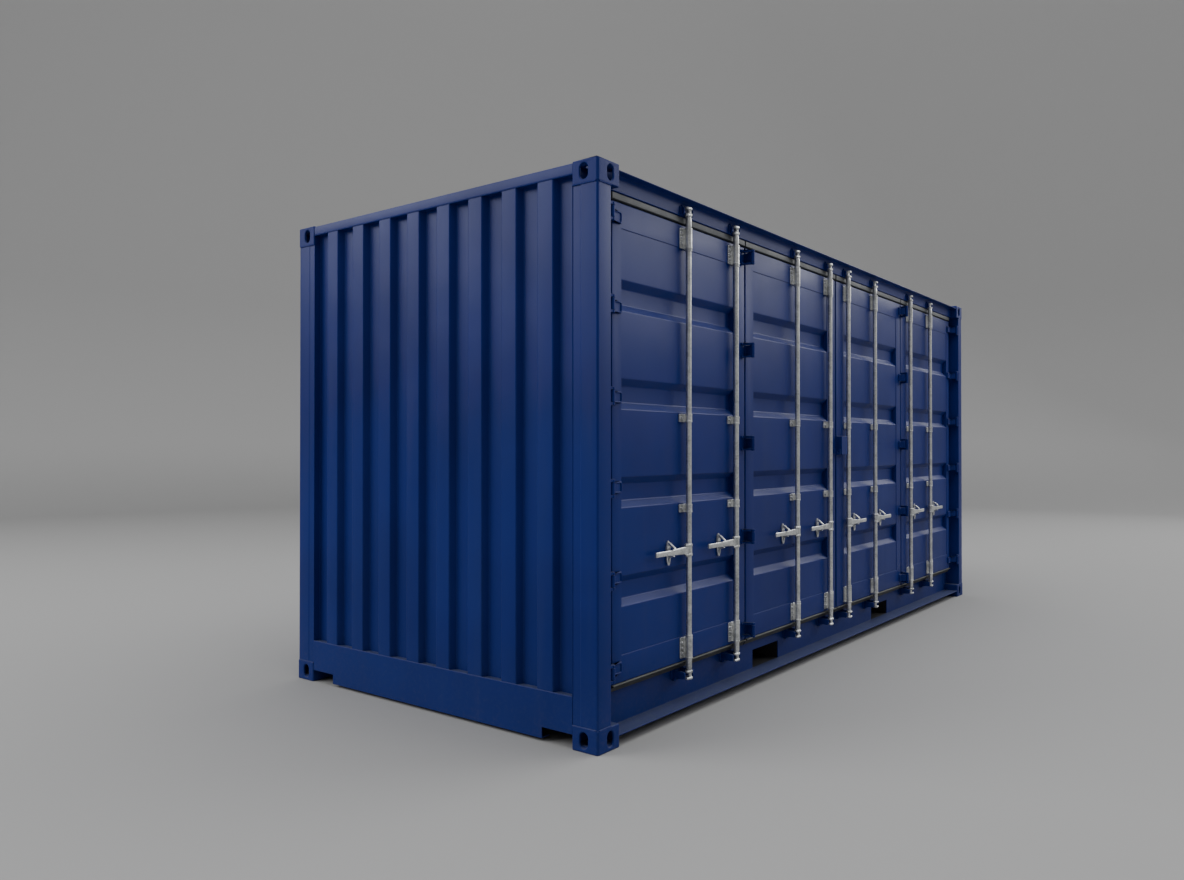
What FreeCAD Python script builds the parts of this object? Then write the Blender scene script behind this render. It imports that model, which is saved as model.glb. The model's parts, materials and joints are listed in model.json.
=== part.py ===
"""Steel dry-freight container with one long side that opens as four hinged leaves.

Twenty feet long, high cube. Millimetres. The origin is at the bottom centre of the
box, +X runs along the length, the door side faces -Y and +Z is up. A depth counted
inwards from the outermost plane of the door side is called a setback.
"""

import FreeCAD
import Part
import math
import os

# ---- overall size ----
LENGTH = 6058.0
WIDTH = 2438.0
HEIGHT = 2896.0

# ---- corner castings ----
CASTING_X = 178.0
CASTING_Y = 162.0
CASTING_Z = 118.0
CASTING_PLATE = 28.0          # top or bottom plate with the lifting slot
CASTING_SHELL = 15.0          # side walls
CASTING_ROUND = 14.0          # outer vertical edge
SLOT_LENGTH = 124.0
SLOT_WIDTH = 63.5
SLOT_INSET_X = 102.5          # slot's centre from the end and from the side
SLOT_INSET_Y = 89.5
SIDE_HOLE_WIDTH = 51.0
SIDE_HOLE_HEIGHT = 79.0
SIDE_HOLE_RISE = 58.0         # centre of a side hole above the casting's own foot

# ---- corner posts ----
FACE_INSET = 4.0              # posts and rails lie this far inside the castings' faces
POST_X = 109.0                # width of a post on the long side
POST_Y = 158.0                # width of a post on the end
POST_ROUND = 12.0
JAMB_THICK = 36.0
JAMB_LAP = 48.0               # how far the jamb reaches behind the leaf's edge

# ---- steel sections ----
PLATE = 6.0
SHEET = 2.0
SILL_LEDGE_Z = 60.0           # top of the ledge below the leaves, floor of the fork pockets
SILL_TOP = 316.0              # threshold, flush with the floor
END_SILL_BOTTOM = 16.0
END_SILL_TOP = 258.0
END_SILL_FLANGE = 64.0
END_NOTCH_WIDTH = 199.0
END_NOTCH_TOP = 73.0
BACK_SILL_TOP = 300.0
SIDE_FLANGE = 60.0
ROOF_DROP = 6.0               # roof and top rails lie this far below the castings' top
TOP_RAIL = 60.0               # square top rail of the back
END_HEADER_HEIGHT = 54.0

# ---- door opening ----
HEADER_SETBACK = 60.0
HEADER_HEIGHT = 107.0
HEADER_FLANGE_DROP = 83.0
LIP_RISE = 83.0               # underside of the rain lip above the header's underside

# ---- end, back and roof sheets: pitch, floor, slope, depth ----
END_WAVE = (250.0, 110.0, 18.0, 45.0)
BACK_WAVE = (278.0, 70.0, 68.0, 36.0)
ROOF_WAVE = (209.0, 70.0, 25.0, 20.0)

# ---- floor ----
FLOOR_THICK = 28.0
FLOOR_GAP = 5.0
BEAM_HEIGHT = 108.0
BEAM_FLANGE = 45.0
BEAM_THICK = 5.0
BEAM_PITCH = 305.0
FORK_CENTRE = 1038.0
FORK_WIDTH = 362.0
FORK_HEIGHT = 115.0

# ---- leaves ----
LEAF_SETBACK = 70.0
LEAF_THICK = 42.0
LEAF_BOTTOM = 285.0
LEAF_HEAD_GAP = 45.0          # from the leaf's head to the header, filled by a rubber lip
POST_GAP = 94.0               # from a post's edge to the leaf's edge, bridged by hinges
MIDDLE_SEAM = 1420.0          # folding seam between the two leaves of a pair
MIDDLE_GAP = 14.0
CENTRE_GAP = 20.0
OUTER_STILE_1 = 83.0
INNER_STILE_1 = 136.0
OUTER_STILE_2 = 106.0
INNER_STILE_2 = 143.0
TOP_RAIL_LEAF = 130.0
BOTTOM_RAIL_LEAF = 138.0
PANEL_STEP = 3.0              # pressed panel lies this far behind the leaf's frame
BAND_COUNT = 4
BAND_FIRST = 326.0            # centre of the lowest band above the panel's foot
BAND_LAST = 342.0             # centre of the highest band below the panel's head
BAND_FLOOR = 86.0
BAND_SLOPE = 36.0
BAND_DEPTH = 33.0

# ---- seals ----
SEAL_WIDTH = 24.0
SEAL_THICK = 8.5
SEAL_CLEAR = 5.5              # from a seal to the jamb, web and flange behind it
HEAD_LIP_CLEAR = 6.0
HEAD_LIP_THICK = 10.0
FOOT_LIP_DROP = 40.0
FOOT_LIP_THICK = 14.0

# ---- hinges ----
FOLD_CLEAR = 3.5              # from the pins' plane to the foremost fitting behind it
PIN_RADIUS = 8.0
PIN_CLEAR = 0.4
BARREL_RADIUS = 13.0
POST_PIN_OFFSET = 26.0        # pin's distance from the post's edge
LUG_THICK = 14.0
BLADE_HEIGHT = 59.0
KNUCKLE_GAP = 1.5
BLADE_THICK = 10.0
BLADE_LAP = 50.0
POST_HINGES = 6
POST_HINGE_END = 82.0
MIDDLE_HINGES = 5
MIDDLE_HINGE_END = 65.0

# ---- lock rods ----
ROD_RADIUS = 16.0
ROD_CLEAR = 4.0               # from a rod to the header's face
ROD_FROM_OUTER = 685.0        # from a leaf's outer edge to its first rod
ROD_FROM_INNER = 162.0        # from a leaf's inner edge to its second rod
SHANK_WALL = 3.0
CAM_HUB_STEP = 2.0            # cam hub is this much slimmer than the rod
CAM_REACH = 34.0
CAM_JAW = 18.0
CAM_WIDTH = 20.0
CAM_HEIGHT = 52.0
CAM_CLEAR = 6.0
COLLAR_HEIGHT = 12.0
RUN_CLEAR = 0.5
END_CLEAR = 2.0
HANDLE_ABOVE_BAND = 162.0
HANDLE_LENGTH = 340.0
HANDLE_HEIGHT = 28.0
HANDLE_THICK = 10.0
HUB_WALL = 5.0
HUB_HEIGHT = 70.0

# ---- rod fittings ----
SLEEVE_WALL = 5.0
SLEEVE_HEIGHT = 116.0
SLEEVE_END = 20.0             # from the leaf's end to the sleeve
SLEEVE_PLATE = (-52.0, 34.0)  # base plate, outwards and inwards of the rod
GUIDE_WALL = 4.0
GUIDE_HEIGHT = 46.0
GUIDE_PLATE = (-58.0, 22.0)
GUIDE_BELOW_BAND = 31.0
FITTING_PLATE = 6.0
SADDLE_WIDTH = 26.0
CATCH_OFFSET = 172.0
CATCH_WIDTH = 38.0
CATCH_EAR = 12.0
CATCH_EAR_GAP = 7.0
CATCH_TAB = 36.0
CATCH_SETBACK = 22.0
KEEPER_LUG = 10.0
KEEPER_FOOT = 12.0
KEEPER_SETBACK = 20.0
KEEPER_STRAP = 5.0

# ---- lock box at the centre seam ----
LOCK_BOX_INSET = 4.0
LOCK_BOX_WIDTH = 108.0
LOCK_BOX_HEIGHT = 136.0
LOCK_BOX_Z = 1432.0
LOCK_BOX_DEPTH = 42.0
LOCK_BOX_WALL = 4.0
LOCK_EYE_WIDTH = 44.0
LOCK_EYE_HEIGHT = 40.0
LOCK_EYE_HOLE = 8.0

# ---- sizes that follow from the ones above ----
END_X = LENGTH / 2.0
SIDE_Y = WIDTH / 2.0
FRAME_X = END_X - FACE_INSET
FRAME_Y = SIDE_Y - FACE_INSET
POST_EDGE = FRAME_X - POST_X
CASTING_EDGE_X = END_X - CASTING_X
CASTING_EDGE_Y = SIDE_Y - CASTING_Y
POST_EDGE_Y = FRAME_Y - POST_Y
POST_TOP = HEIGHT - CASTING_Z
ROOF_Z = HEIGHT - ROOF_DROP
SLOT_X = END_X - SLOT_INSET_X
SLOT_Y = SIDE_Y - SLOT_INSET_Y
HEADER_BOTTOM = ROOF_Z - HEADER_HEIGHT
LIP_Z = HEADER_BOTTOM + LIP_RISE
LEAF_TOP = HEADER_BOTTOM - LEAF_HEAD_GAP
HEAD_LIP_HEIGHT = LEAF_HEAD_GAP - HEAD_LIP_CLEAR
WEB_SETBACK = LEAF_SETBACK + LEAF_THICK + SEAL_THICK + SEAL_CLEAR
LEAF_OUTER_EDGE = POST_EDGE - POST_GAP
JAMB_EDGE = LEAF_OUTER_EDGE - JAMB_LAP
POST_PIN = POST_EDGE - POST_PIN_OFFSET
LEAF_BACK = LEAF_SETBACK + LEAF_THICK
FLOOR_TOP = SILL_TOP
BEAM_TOP = FLOOR_TOP - FLOOR_THICK
HEADER_BACK = WEB_SETBACK + PLATE
PANEL_BOTTOM = LEAF_BOTTOM + BOTTOM_RAIL_LEAF
PANEL_TOP = LEAF_TOP - TOP_RAIL_LEAF
BAND_PITCH = (PANEL_TOP - BAND_LAST - PANEL_BOTTOM - BAND_FIRST) / (BAND_COUNT - 1)
BAND_CENTRES = [PANEL_BOTTOM + BAND_FIRST + i * BAND_PITCH for i in range(BAND_COUNT)]
BAND_HALF = BAND_FLOOR / 2.0 + BAND_SLOPE
HANDLE_Z = BAND_CENTRES[0] + HANDLE_ABOVE_BAND
SHANK_RADIUS = ROD_RADIUS + SHANK_WALL
CAM_HUB_RADIUS = ROD_RADIUS - CAM_HUB_STEP
HUB_RADIUS = ROD_RADIUS + HUB_WALL
SLEEVE_RADIUS = ROD_RADIUS + RUN_CLEAR + SLEEVE_WALL
GUIDE_RADIUS = ROD_RADIUS + RUN_CLEAR + GUIDE_WALL
ROD_SETBACK = HEADER_SETBACK - ROD_CLEAR - ROD_RADIUS
PIN_SETBACK = ROD_SETBACK - SLEEVE_RADIUS - FOLD_CLEAR
TOP_CAM_Z = HEADER_BOTTOM
BOTTOM_CAM_Z = LEAF_BOTTOM - FOOT_LIP_DROP - CAM_CLEAR - CAM_HEIGHT

# (outer edge, inner edge, outer stile, inner stile) of the two leaves left of the centre
LEAVES = {
    1: (-LEAF_OUTER_EDGE, -MIDDLE_SEAM - MIDDLE_GAP / 2.0, OUTER_STILE_1, INNER_STILE_1),
    2: (-MIDDLE_SEAM + MIDDLE_GAP / 2.0, -CENTRE_GAP / 2.0, OUTER_STILE_2, INNER_STILE_2),
}

PARTS_DIR = "parts"


# ---------------------------------------------------------------- helpers

def y_at(setback):
    """Return the Y of a plane that lies `setback` behind the door side's outermost plane."""
    return -SIDE_Y + setback


def box(x_pair, y_pair, z_pair):
    """Return a box from its lowest to its highest X, Y and Z."""
    low = [min(pair) for pair in (x_pair, y_pair, z_pair)]
    size = [abs(pair[1] - pair[0]) for pair in (x_pair, y_pair, z_pair)]
    return Part.makeBox(size[0], size[1], size[2], FreeCAD.Vector(low[0], low[1], low[2]))


def cylinder(x, y, z_pair, radius):
    """Return an upright cylinder."""
    base = FreeCAD.Vector(x, y, min(z_pair))
    return Part.makeCylinder(radius, abs(z_pair[1] - z_pair[0]), base)


def prism(points, sweep):
    """Return the solid that a closed outline of 3-D points sweeps along a vector."""
    corners = [FreeCAD.Vector(*point) for point in points]
    face = Part.Face(Part.makePolygon(corners + corners[:1]))
    return face.extrude(FreeCAD.Vector(*sweep))


def plan_prism(points, z_pair):
    """Return an upright prism from (x, setback) points."""
    low = min(z_pair)
    outline = [(x, y_at(setback), low) for x, setback in points]
    return prism(outline, (0, 0, abs(z_pair[1] - z_pair[0])))


def joined(shapes):
    """Fuse shapes into one solid and drop the seams between coplanar faces."""
    whole = shapes[0].multiFuse(shapes[1:]) if len(shapes) > 1 else shapes[0]
    return whole.removeSplitter()


def mirror_x(shape):
    """Mirror a shape to the other half of the length."""
    return shape.mirror(FreeCAD.Vector(0, 0, 0), FreeCAD.Vector(1, 0, 0))


def mirror_y(shape):
    """Mirror a shape to the other long side."""
    return shape.mirror(FreeCAD.Vector(0, 0, 0), FreeCAD.Vector(0, 1, 0))


def both_ends(shapes):
    """Return shapes and their mirror images in the length."""
    return list(shapes) + [mirror_x(shape) for shape in shapes]


def save(node, solids):
    """Write the solids of one node to its STEP file."""
    solids = [piece for solid in solids for piece in solid.Solids]
    shape = solids[0] if len(solids) == 1 else Part.makeCompound(solids)
    if not shape.isValid():
        raise ValueError(node + " is not valid")
    shape.exportStep(os.path.join(PARTS_DIR, node + ".step"))
    print(node, len(solids), round(sum(solid.Volume for solid in solids) / 1e6, 3), "litres")


def wave_line(start, end, troughs, floor, slope, depth):
    """Return (along, inwards) points of a folded sheet with troughs at given centres."""
    def inwards(along):
        near = min(abs(along - centre) for centre in troughs)
        share = (near - floor / 2.0) / slope
        return depth * (1.0 - min(max(share, 0.0), 1.0))

    stations = {start, end}
    for centre in troughs:
        for reach in (floor / 2.0, floor / 2.0 + slope):
            stations.update((centre - reach, centre + reach))
    return [(s, inwards(s)) for s in sorted(stations) if start <= s <= end]


def repeated(pitch, start, end):
    """Return centres at a pitch, set out from the middle of a span, that touch the span."""
    middle = (start + end) / 2.0
    count = int(math.ceil((end - start) / 2.0 / pitch))
    centres = [middle + i * pitch for i in range(-count, count + 1)]
    return [c for c in centres if start - pitch / 2.0 < c < end + pitch / 2.0]


def closed_sheet(line, thick):
    """Return the closed outline of a sheet from its outer line of (along, inwards) points."""
    return line + [(along, inwards + thick) for along, inwards in reversed(line)]


# ---------------------------------------------------------------- castings and posts

def slotted(length, width, depth, axis_point, direction, long_axis):
    """Return a cutter with round ends, long along one axis, that runs along a direction."""
    half = (length - width) / 2.0
    centre = FreeCAD.Vector(*axis_point)
    way = FreeCAD.Vector(*direction)
    along = FreeCAD.Vector(*long_axis)
    across = way.cross(along)
    low = centre - along * half - across * (width / 2.0)
    corners = [low, low + along * (2 * half), low + along * (2 * half) + across * width,
               low + across * width]
    block = Part.Face(Part.makePolygon(corners + [low])).extrude(way * depth)
    ends = [Part.makeCylinder(width / 2.0, depth, centre + along * (side * half), way)
            for side in (-1, 1)]
    return joined([block] + ends)


def bottom_casting():
    """Return the hollow casting of the corner at -X, -Y, standing on the ground."""
    x0, y0 = -END_X, -SIDE_Y
    x1, y1 = x0 + CASTING_X, y0 + CASTING_Y
    body = box((x0, x1), (y0, y1), (0, CASTING_Z))
    edges = [edge for edge in body.Edges
             if abs(edge.BoundBox.XMax - x0) < 0.1 and abs(edge.BoundBox.YMax - y0) < 0.1]
    body = body.makeFillet(CASTING_ROUND, edges)
    hollow = box((x0 + CASTING_SHELL, x1 - CASTING_SHELL), (y0 + CASTING_SHELL, y1 - CASTING_SHELL),
                 (CASTING_PLATE, CASTING_Z - CASTING_SHELL))
    reach = CASTING_PLATE + 2.0
    foot = slotted(SLOT_LENGTH, SLOT_WIDTH, reach,
                   (-SLOT_X, -SLOT_Y, -1.0), (0, 0, 1), (1, 0, 0))
    end_hole = slotted(SIDE_HOLE_HEIGHT, SIDE_HOLE_WIDTH, CASTING_SHELL + 2.0,
                       (x0 - 1.0, -SLOT_Y, SIDE_HOLE_RISE), (1, 0, 0), (0, 0, 1))
    side_hole = slotted(SIDE_HOLE_HEIGHT, SIDE_HOLE_WIDTH, CASTING_SHELL + 2.0,
                        (-SLOT_X, y0 - 1.0, SIDE_HOLE_RISE), (0, 1, 0), (0, 0, 1))
    return body.cut(hollow).cut(foot).cut(end_hole).cut(side_hole)


def four_corners(shape):
    """Return a shape of the -X, -Y corner at all four corners."""
    return both_ends([shape, mirror_y(shape)])


def post_body():
    """Return the hot-rolled post of the -X, -Y corner, with its outer edge rounded."""
    x0, y0 = -FRAME_X, -FRAME_Y
    body = box((x0, -POST_EDGE), (y0, -POST_EDGE_Y), (CASTING_Z, POST_TOP))
    edges = [edge for edge in body.Edges
             if abs(edge.BoundBox.XMax - x0) < 0.1 and abs(edge.BoundBox.YMax - y0) < 0.1]
    return body.makeFillet(POST_ROUND, edges)


def door_post():
    """Return the door-side post with the jamb that the leaf closes against."""
    jamb_y = (y_at(WEB_SETBACK), y_at(WEB_SETBACK) + JAMB_THICK)
    jamb = box((-POST_EDGE, -JAMB_EDGE), jamb_y, (CASTING_Z, POST_TOP))
    head = box((-CASTING_EDGE_X, -JAMB_EDGE), jamb_y, (POST_TOP, HEADER_BOTTOM))
    return joined([post_body(), jamb, head])


# ---------------------------------------------------------------- rails and sheets

def fork_cutters(y_pair):
    """Return the two cutters of the fork pockets through a web."""
    z_pair = (SILL_LEDGE_Z, SILL_LEDGE_Z + FORK_HEIGHT)
    half = FORK_WIDTH / 2.0
    return [box((side * FORK_CENTRE - half, side * FORK_CENTRE + half), y_pair, z_pair)
            for side in (-1, 1)]


def door_sill():
    """Return the ledge and web below the leaves, with the fork pockets cut through."""
    web_y = (y_at(WEB_SETBACK), y_at(HEADER_BACK))
    ledge_z = (SILL_LEDGE_Z - PLATE, SILL_LEDGE_Z)
    ledge = box((-CASTING_EDGE_X, CASTING_EDGE_X), (-FRAME_Y, web_y[1]), ledge_z)
    low = box((-CASTING_EDGE_X, CASTING_EDGE_X), web_y, (SILL_LEDGE_Z, CASTING_Z))
    high = box((-JAMB_EDGE, JAMB_EDGE), web_y, (CASTING_Z, SILL_TOP))
    sill = joined([ledge, low, high])
    for cutter in fork_cutters((web_y[0] - 1.0, web_y[1] + 1.0)):
        sill = sill.cut(cutter)
    return sill


def back_sill():
    """Return the channel that carries the back wall, with the fork pockets cut through."""
    x_pair = (-CASTING_EDGE_X, CASTING_EDGE_X)
    bottom = SILL_LEDGE_Z - PLATE
    web = box(x_pair, (FRAME_Y - PLATE, FRAME_Y), (bottom, CASTING_Z))
    high = box((-POST_EDGE, POST_EDGE), (FRAME_Y - PLATE, FRAME_Y), (CASTING_Z, BACK_SILL_TOP))
    foot = box(x_pair, (FRAME_Y - SIDE_FLANGE, FRAME_Y), (bottom, SILL_LEDGE_Z))
    head = box((-POST_EDGE, POST_EDGE), (FRAME_Y - SIDE_FLANGE, FRAME_Y),
               (BACK_SILL_TOP - PLATE, BACK_SILL_TOP))
    sill = joined([web, high, foot, head])
    for cutter in fork_cutters((FRAME_Y - PLATE - 1.0, FRAME_Y + 1.0)):
        sill = sill.cut(cutter)
    return sill


def door_header():
    """Return the top rail over the leaves with its rain lip and its sealing flange."""
    x_pair = (-CASTING_EDGE_X, CASTING_EDGE_X)
    rail = box(x_pair, (y_at(HEADER_SETBACK), y_at(HEADER_BACK)), (HEADER_BOTTOM, ROOF_Z))
    lip = box(x_pair, (-FRAME_Y, y_at(HEADER_SETBACK)), (LIP_Z, LIP_Z + PLATE))
    flange = box((-JAMB_EDGE, JAMB_EDGE), (y_at(WEB_SETBACK), y_at(HEADER_BACK)),
                 (HEADER_BOTTOM - HEADER_FLANGE_DROP, HEADER_BOTTOM))
    return joined([rail, lip, flange])


def back_top_rail():
    """Return the square rail over the back wall."""
    return box((-CASTING_EDGE_X, CASTING_EDGE_X), (FRAME_Y - TOP_RAIL, FRAME_Y),
               (ROOF_Z - TOP_RAIL, ROOF_Z))


def end_sill():
    """Return the channel below the end wall at -X, notched beside both castings."""
    x0 = -FRAME_X
    half = CASTING_EDGE_Y
    clear = half - END_NOTCH_WIDTH
    web = box((x0, x0 + PLATE), (-half, half), (END_NOTCH_TOP, END_SILL_TOP))
    wide = box((x0, x0 + PLATE), (-POST_EDGE_Y, POST_EDGE_Y), (CASTING_Z, END_SILL_TOP))
    low = box((x0, x0 + PLATE), (-clear, clear), (END_SILL_BOTTOM, END_NOTCH_TOP))
    head = box((x0, x0 + END_SILL_FLANGE), (-POST_EDGE_Y, POST_EDGE_Y),
               (END_SILL_TOP - PLATE, END_SILL_TOP))
    foot = box((x0, x0 + END_SILL_FLANGE), (-clear, clear),
               (END_SILL_BOTTOM, END_SILL_BOTTOM + PLATE))
    return joined([web, wide, low, head, foot])


def end_header():
    """Return the rail over the end wall at -X."""
    return box((-FRAME_X, -FRAME_X + TOP_RAIL), (-CASTING_EDGE_Y, CASTING_EDGE_Y),
               (ROOF_Z - END_HEADER_HEIGHT, ROOF_Z))


def end_wall():
    """Return the upright-folded sheet of the end at -X."""
    pitch, floor, slope, depth = END_WAVE
    troughs = repeated(pitch, -POST_EDGE_Y, POST_EDGE_Y)
    line = wave_line(-POST_EDGE_Y, POST_EDGE_Y, troughs, floor, slope, depth)
    outline = [(-FRAME_X + inwards, along, END_SILL_TOP)
               for along, inwards in closed_sheet(line, SHEET)]
    return prism(outline, (0, 0, ROOF_Z - END_HEADER_HEIGHT - END_SILL_TOP))


def back_wall():
    """Return the upright-folded sheet of the long side at +Y."""
    pitch, floor, slope, depth = BACK_WAVE
    troughs = repeated(pitch, -POST_EDGE, POST_EDGE)
    line = wave_line(-POST_EDGE, POST_EDGE, troughs, floor, slope, depth)
    outline = [(along, FRAME_Y - inwards, BACK_SILL_TOP)
               for along, inwards in closed_sheet(line, SHEET)]
    sheet = prism(outline, (0, 0, ROOF_Z - TOP_RAIL - BACK_SILL_TOP))
    corner = box((-END_X, -CASTING_EDGE_X), (CASTING_EDGE_Y, SIDE_Y), (POST_TOP, HEIGHT))
    return sheet.cut(corner).cut(mirror_x(corner))


def roof_panel():
    """Return the roof sheet, folded across the length, between the rails and castings."""
    pitch, floor, slope, depth = ROOF_WAVE
    y_pair = (y_at(HEADER_BACK), FRAME_Y - TOP_RAIL)
    reach = FRAME_X - TOP_RAIL
    flat = CASTING_EDGE_X
    troughs = repeated(pitch, -flat, flat)
    troughs = [c for c in troughs if abs(c) + floor / 2.0 + slope < flat]
    line = wave_line(-reach, reach, troughs, floor, slope, depth)
    outline = [(along, y_pair[0], ROOF_Z - inwards) for along, inwards in closed_sheet(line, SHEET)]
    sheet = prism(outline, (0, y_pair[1] - y_pair[0], 0))
    corner = box((-END_X, -CASTING_EDGE_X), (-SIDE_Y, -CASTING_EDGE_Y), (POST_TOP, HEIGHT))
    for cutter in four_corners(corner):
        sheet = sheet.cut(cutter)
    return sheet


# ---------------------------------------------------------------- floor

def floor_panel():
    """Return the floor slab, notched round posts and jambs."""
    reach = FRAME_X - END_WAVE[3] - SHEET - FLOOR_GAP
    front = y_at(HEADER_BACK)
    back = FRAME_Y - SIDE_FLANGE - FLOOR_GAP
    slab = box((-reach, reach), (front, back), (BEAM_TOP, FLOOR_TOP))
    jamb_back = y_at(WEB_SETBACK) + JAMB_THICK
    notches = [box((-END_X, -JAMB_EDGE), (-SIDE_Y, jamb_back), (BEAM_TOP, FLOOR_TOP)),
               box((-END_X, -POST_EDGE), (POST_EDGE_Y, SIDE_Y), (BEAM_TOP, FLOOR_TOP))]
    for cutter in both_ends(notches):
        slab = slab.cut(cutter)
    return slab


def floor_beam(x):
    """Return one channel under the floor, its web towards +X."""
    y_pair = (y_at(HEADER_BACK), FRAME_Y - PLATE)
    bottom = BEAM_TOP - BEAM_HEIGHT
    web = box((x - BEAM_THICK, x), y_pair, (bottom, BEAM_TOP))
    head = box((x - BEAM_FLANGE, x), y_pair, (BEAM_TOP - BEAM_THICK, BEAM_TOP))
    foot = box((x - BEAM_FLANGE, x), y_pair, (bottom, bottom + BEAM_THICK))
    return joined([web, head, foot])


def floor_beams():
    """Return the floor's channels, spread evenly between the jambs."""
    first = -JAMB_EDGE + BEAM_FLANGE
    last = JAMB_EDGE
    count = int(round((last - first) / BEAM_PITCH)) + 1
    step = (last - first) / (count - 1)
    return [floor_beam(first + i * step) for i in range(count)]


def fork_pocket(side):
    """Return one rectangular tunnel that runs across under the floor."""
    y_pair = (y_at(HEADER_BACK), FRAME_Y - SIDE_FLANGE)
    x = side * FORK_CENTRE
    half = FORK_WIDTH / 2.0
    wall = min(PLATE, BEAM_TOP - BEAM_HEIGHT - SILL_LEDGE_Z - FORK_HEIGHT)
    outer = box((x - half - PLATE, x + half + PLATE), y_pair,
                (SILL_LEDGE_Z - PLATE, SILL_LEDGE_Z + FORK_HEIGHT + wall))
    inner = box((x - half, x + half), (y_pair[0] - 1, y_pair[1] + 1),
                (SILL_LEDGE_Z, SILL_LEDGE_Z + FORK_HEIGHT))
    return outer.cut(inner)


# ---------------------------------------------------------------- hinges

def spread(count, low, high):
    """Return evenly spaced heights from low to high."""
    return [low + i * (high - low) / (count - 1) for i in range(count)]


POST_HINGE_ZS = spread(POST_HINGES, LEAF_BOTTOM + POST_HINGE_END, LEAF_TOP - POST_HINGE_END)
MIDDLE_HINGE_ZS = spread(MIDDLE_HINGES, LEAF_BOTTOM + MIDDLE_HINGE_END,
                         LEAF_TOP - MIDDLE_HINGE_END)


def knuckle_spans(z):
    """Return the Z spans of the lower lug, the blade and the upper lug of a hinge."""
    half = BLADE_HEIGHT / 2.0
    near = half + KNUCKLE_GAP
    return (z - near - LUG_THICK, z - near), (z - half, z + half), (z + near, z + near + LUG_THICK)


def arm_outline(pin_x, edge_x, way):
    """Return a cranked arm from a barrel to the face of a leaf whose edge is at edge_x.

    `way` is +1 where the leaf lies on the +X side of the pin. The arm falls back at once,
    so that it passes the post when the leaf is thrown right back.
    """
    end_x = edge_x + way * BLADE_LAP
    front = LEAF_SETBACK - BLADE_THICK
    reach = abs(edge_x - pin_x)
    crank = min(reach + 10.0, (front - PIN_SETBACK) * 0.8)
    return [(pin_x + way * 9.0, PIN_SETBACK + 8.0),
            (pin_x + way * (9.0 + crank * 0.45), PIN_SETBACK + 8.0 + crank * 0.55),
            (pin_x + way * (9.0 + crank), front),
            (end_x, front),
            (end_x, LEAF_SETBACK),
            (edge_x, LEAF_SETBACK),
            (pin_x + way * min(16.0, reach), LEAF_SETBACK - 4.0),
            (pin_x - way * 6.0, PIN_SETBACK + 10.0)]


def hinge_blade(pin_x, edge_x, way, z):
    """Return a leaf's blade: a barrel bored for the pin, and its arm."""
    span = knuckle_spans(z)[1]
    barrel = cylinder(pin_x, y_at(PIN_SETBACK), span, BARREL_RADIUS)
    bore = cylinder(pin_x, y_at(PIN_SETBACK), (span[0] - 1, span[1] + 1), PIN_RADIUS + PIN_CLEAR)
    arm = plan_prism(arm_outline(pin_x, edge_x, way), span)
    return joined([barrel, arm]).cut(bore)


def hinge_pin(pin_x, z):
    """Return the pin through a hinge at a height."""
    low, _, high = knuckle_spans(z)
    return cylinder(pin_x, y_at(PIN_SETBACK), (low[0], high[1]), PIN_RADIUS)


def post_hinge(z):
    """Return the two lugs on the post at -X, with the pin that they hold."""
    pin_x = -POST_PIN
    low, _, high = knuckle_spans(z)
    shapes = [hinge_pin(pin_x, z)]
    for span in (low, high):
        shapes.append(cylinder(pin_x, y_at(PIN_SETBACK), span, BARREL_RADIUS))
        shapes.append(box((-POST_EDGE, pin_x), (y_at(PIN_SETBACK - 9.0), y_at(PIN_SETBACK + 11.0)),
                          span))
    return joined(shapes)


def middle_lugs(z):
    """Return the first leaf's two lugs at the folding seam, with their pin."""
    low, _, high = knuckle_spans(z)
    edge = LEAVES[1][1]
    shapes = [hinge_pin(-MIDDLE_SEAM, z)]
    for span in (low, high):
        shapes.append(cylinder(-MIDDLE_SEAM, y_at(PIN_SETBACK), span, BARREL_RADIUS))
        shapes.append(plan_prism(arm_outline(-MIDDLE_SEAM, edge, -1), span))
    return joined(shapes)


def leaf_hinges(number):
    """Return the hinge pieces that are welded to a leaf."""
    outer = LEAVES[number][0]
    if number == 2:
        return [hinge_blade(-MIDDLE_SEAM, outer, 1, z) for z in MIDDLE_HINGE_ZS]
    blades = [hinge_blade(-POST_PIN, outer, 1, z) for z in POST_HINGE_ZS]
    return blades + [middle_lugs(z) for z in MIDDLE_HINGE_ZS]


# ---------------------------------------------------------------- leaves

def leaf_frame(number):
    """Return a leaf's frame of two stiles and two rails."""
    outer, inner, outer_stile, inner_stile = LEAVES[number]
    y_pair = (y_at(LEAF_SETBACK), y_at(LEAF_BACK))
    frame = box((outer, inner), y_pair, (LEAF_BOTTOM, LEAF_TOP))
    field = box((outer + outer_stile, inner - inner_stile), (y_pair[0] - 1, y_pair[1] + 1),
                (PANEL_BOTTOM, PANEL_TOP))
    return frame.cut(field)


def leaf_panel(number):
    """Return a leaf's sheet with its bands pressed inwards across the whole field."""
    outer, inner, outer_stile, inner_stile = LEAVES[number]
    line = wave_line(PANEL_BOTTOM, PANEL_TOP, BAND_CENTRES, BAND_FLOOR, BAND_SLOPE, BAND_DEPTH)
    face = LEAF_SETBACK + PANEL_STEP
    x0 = outer + outer_stile
    outline = [(x0, y_at(face + inwards), along) for along, inwards in closed_sheet(line, SHEET)]
    return prism(outline, (inner - inner_stile - x0, 0, 0))


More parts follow.
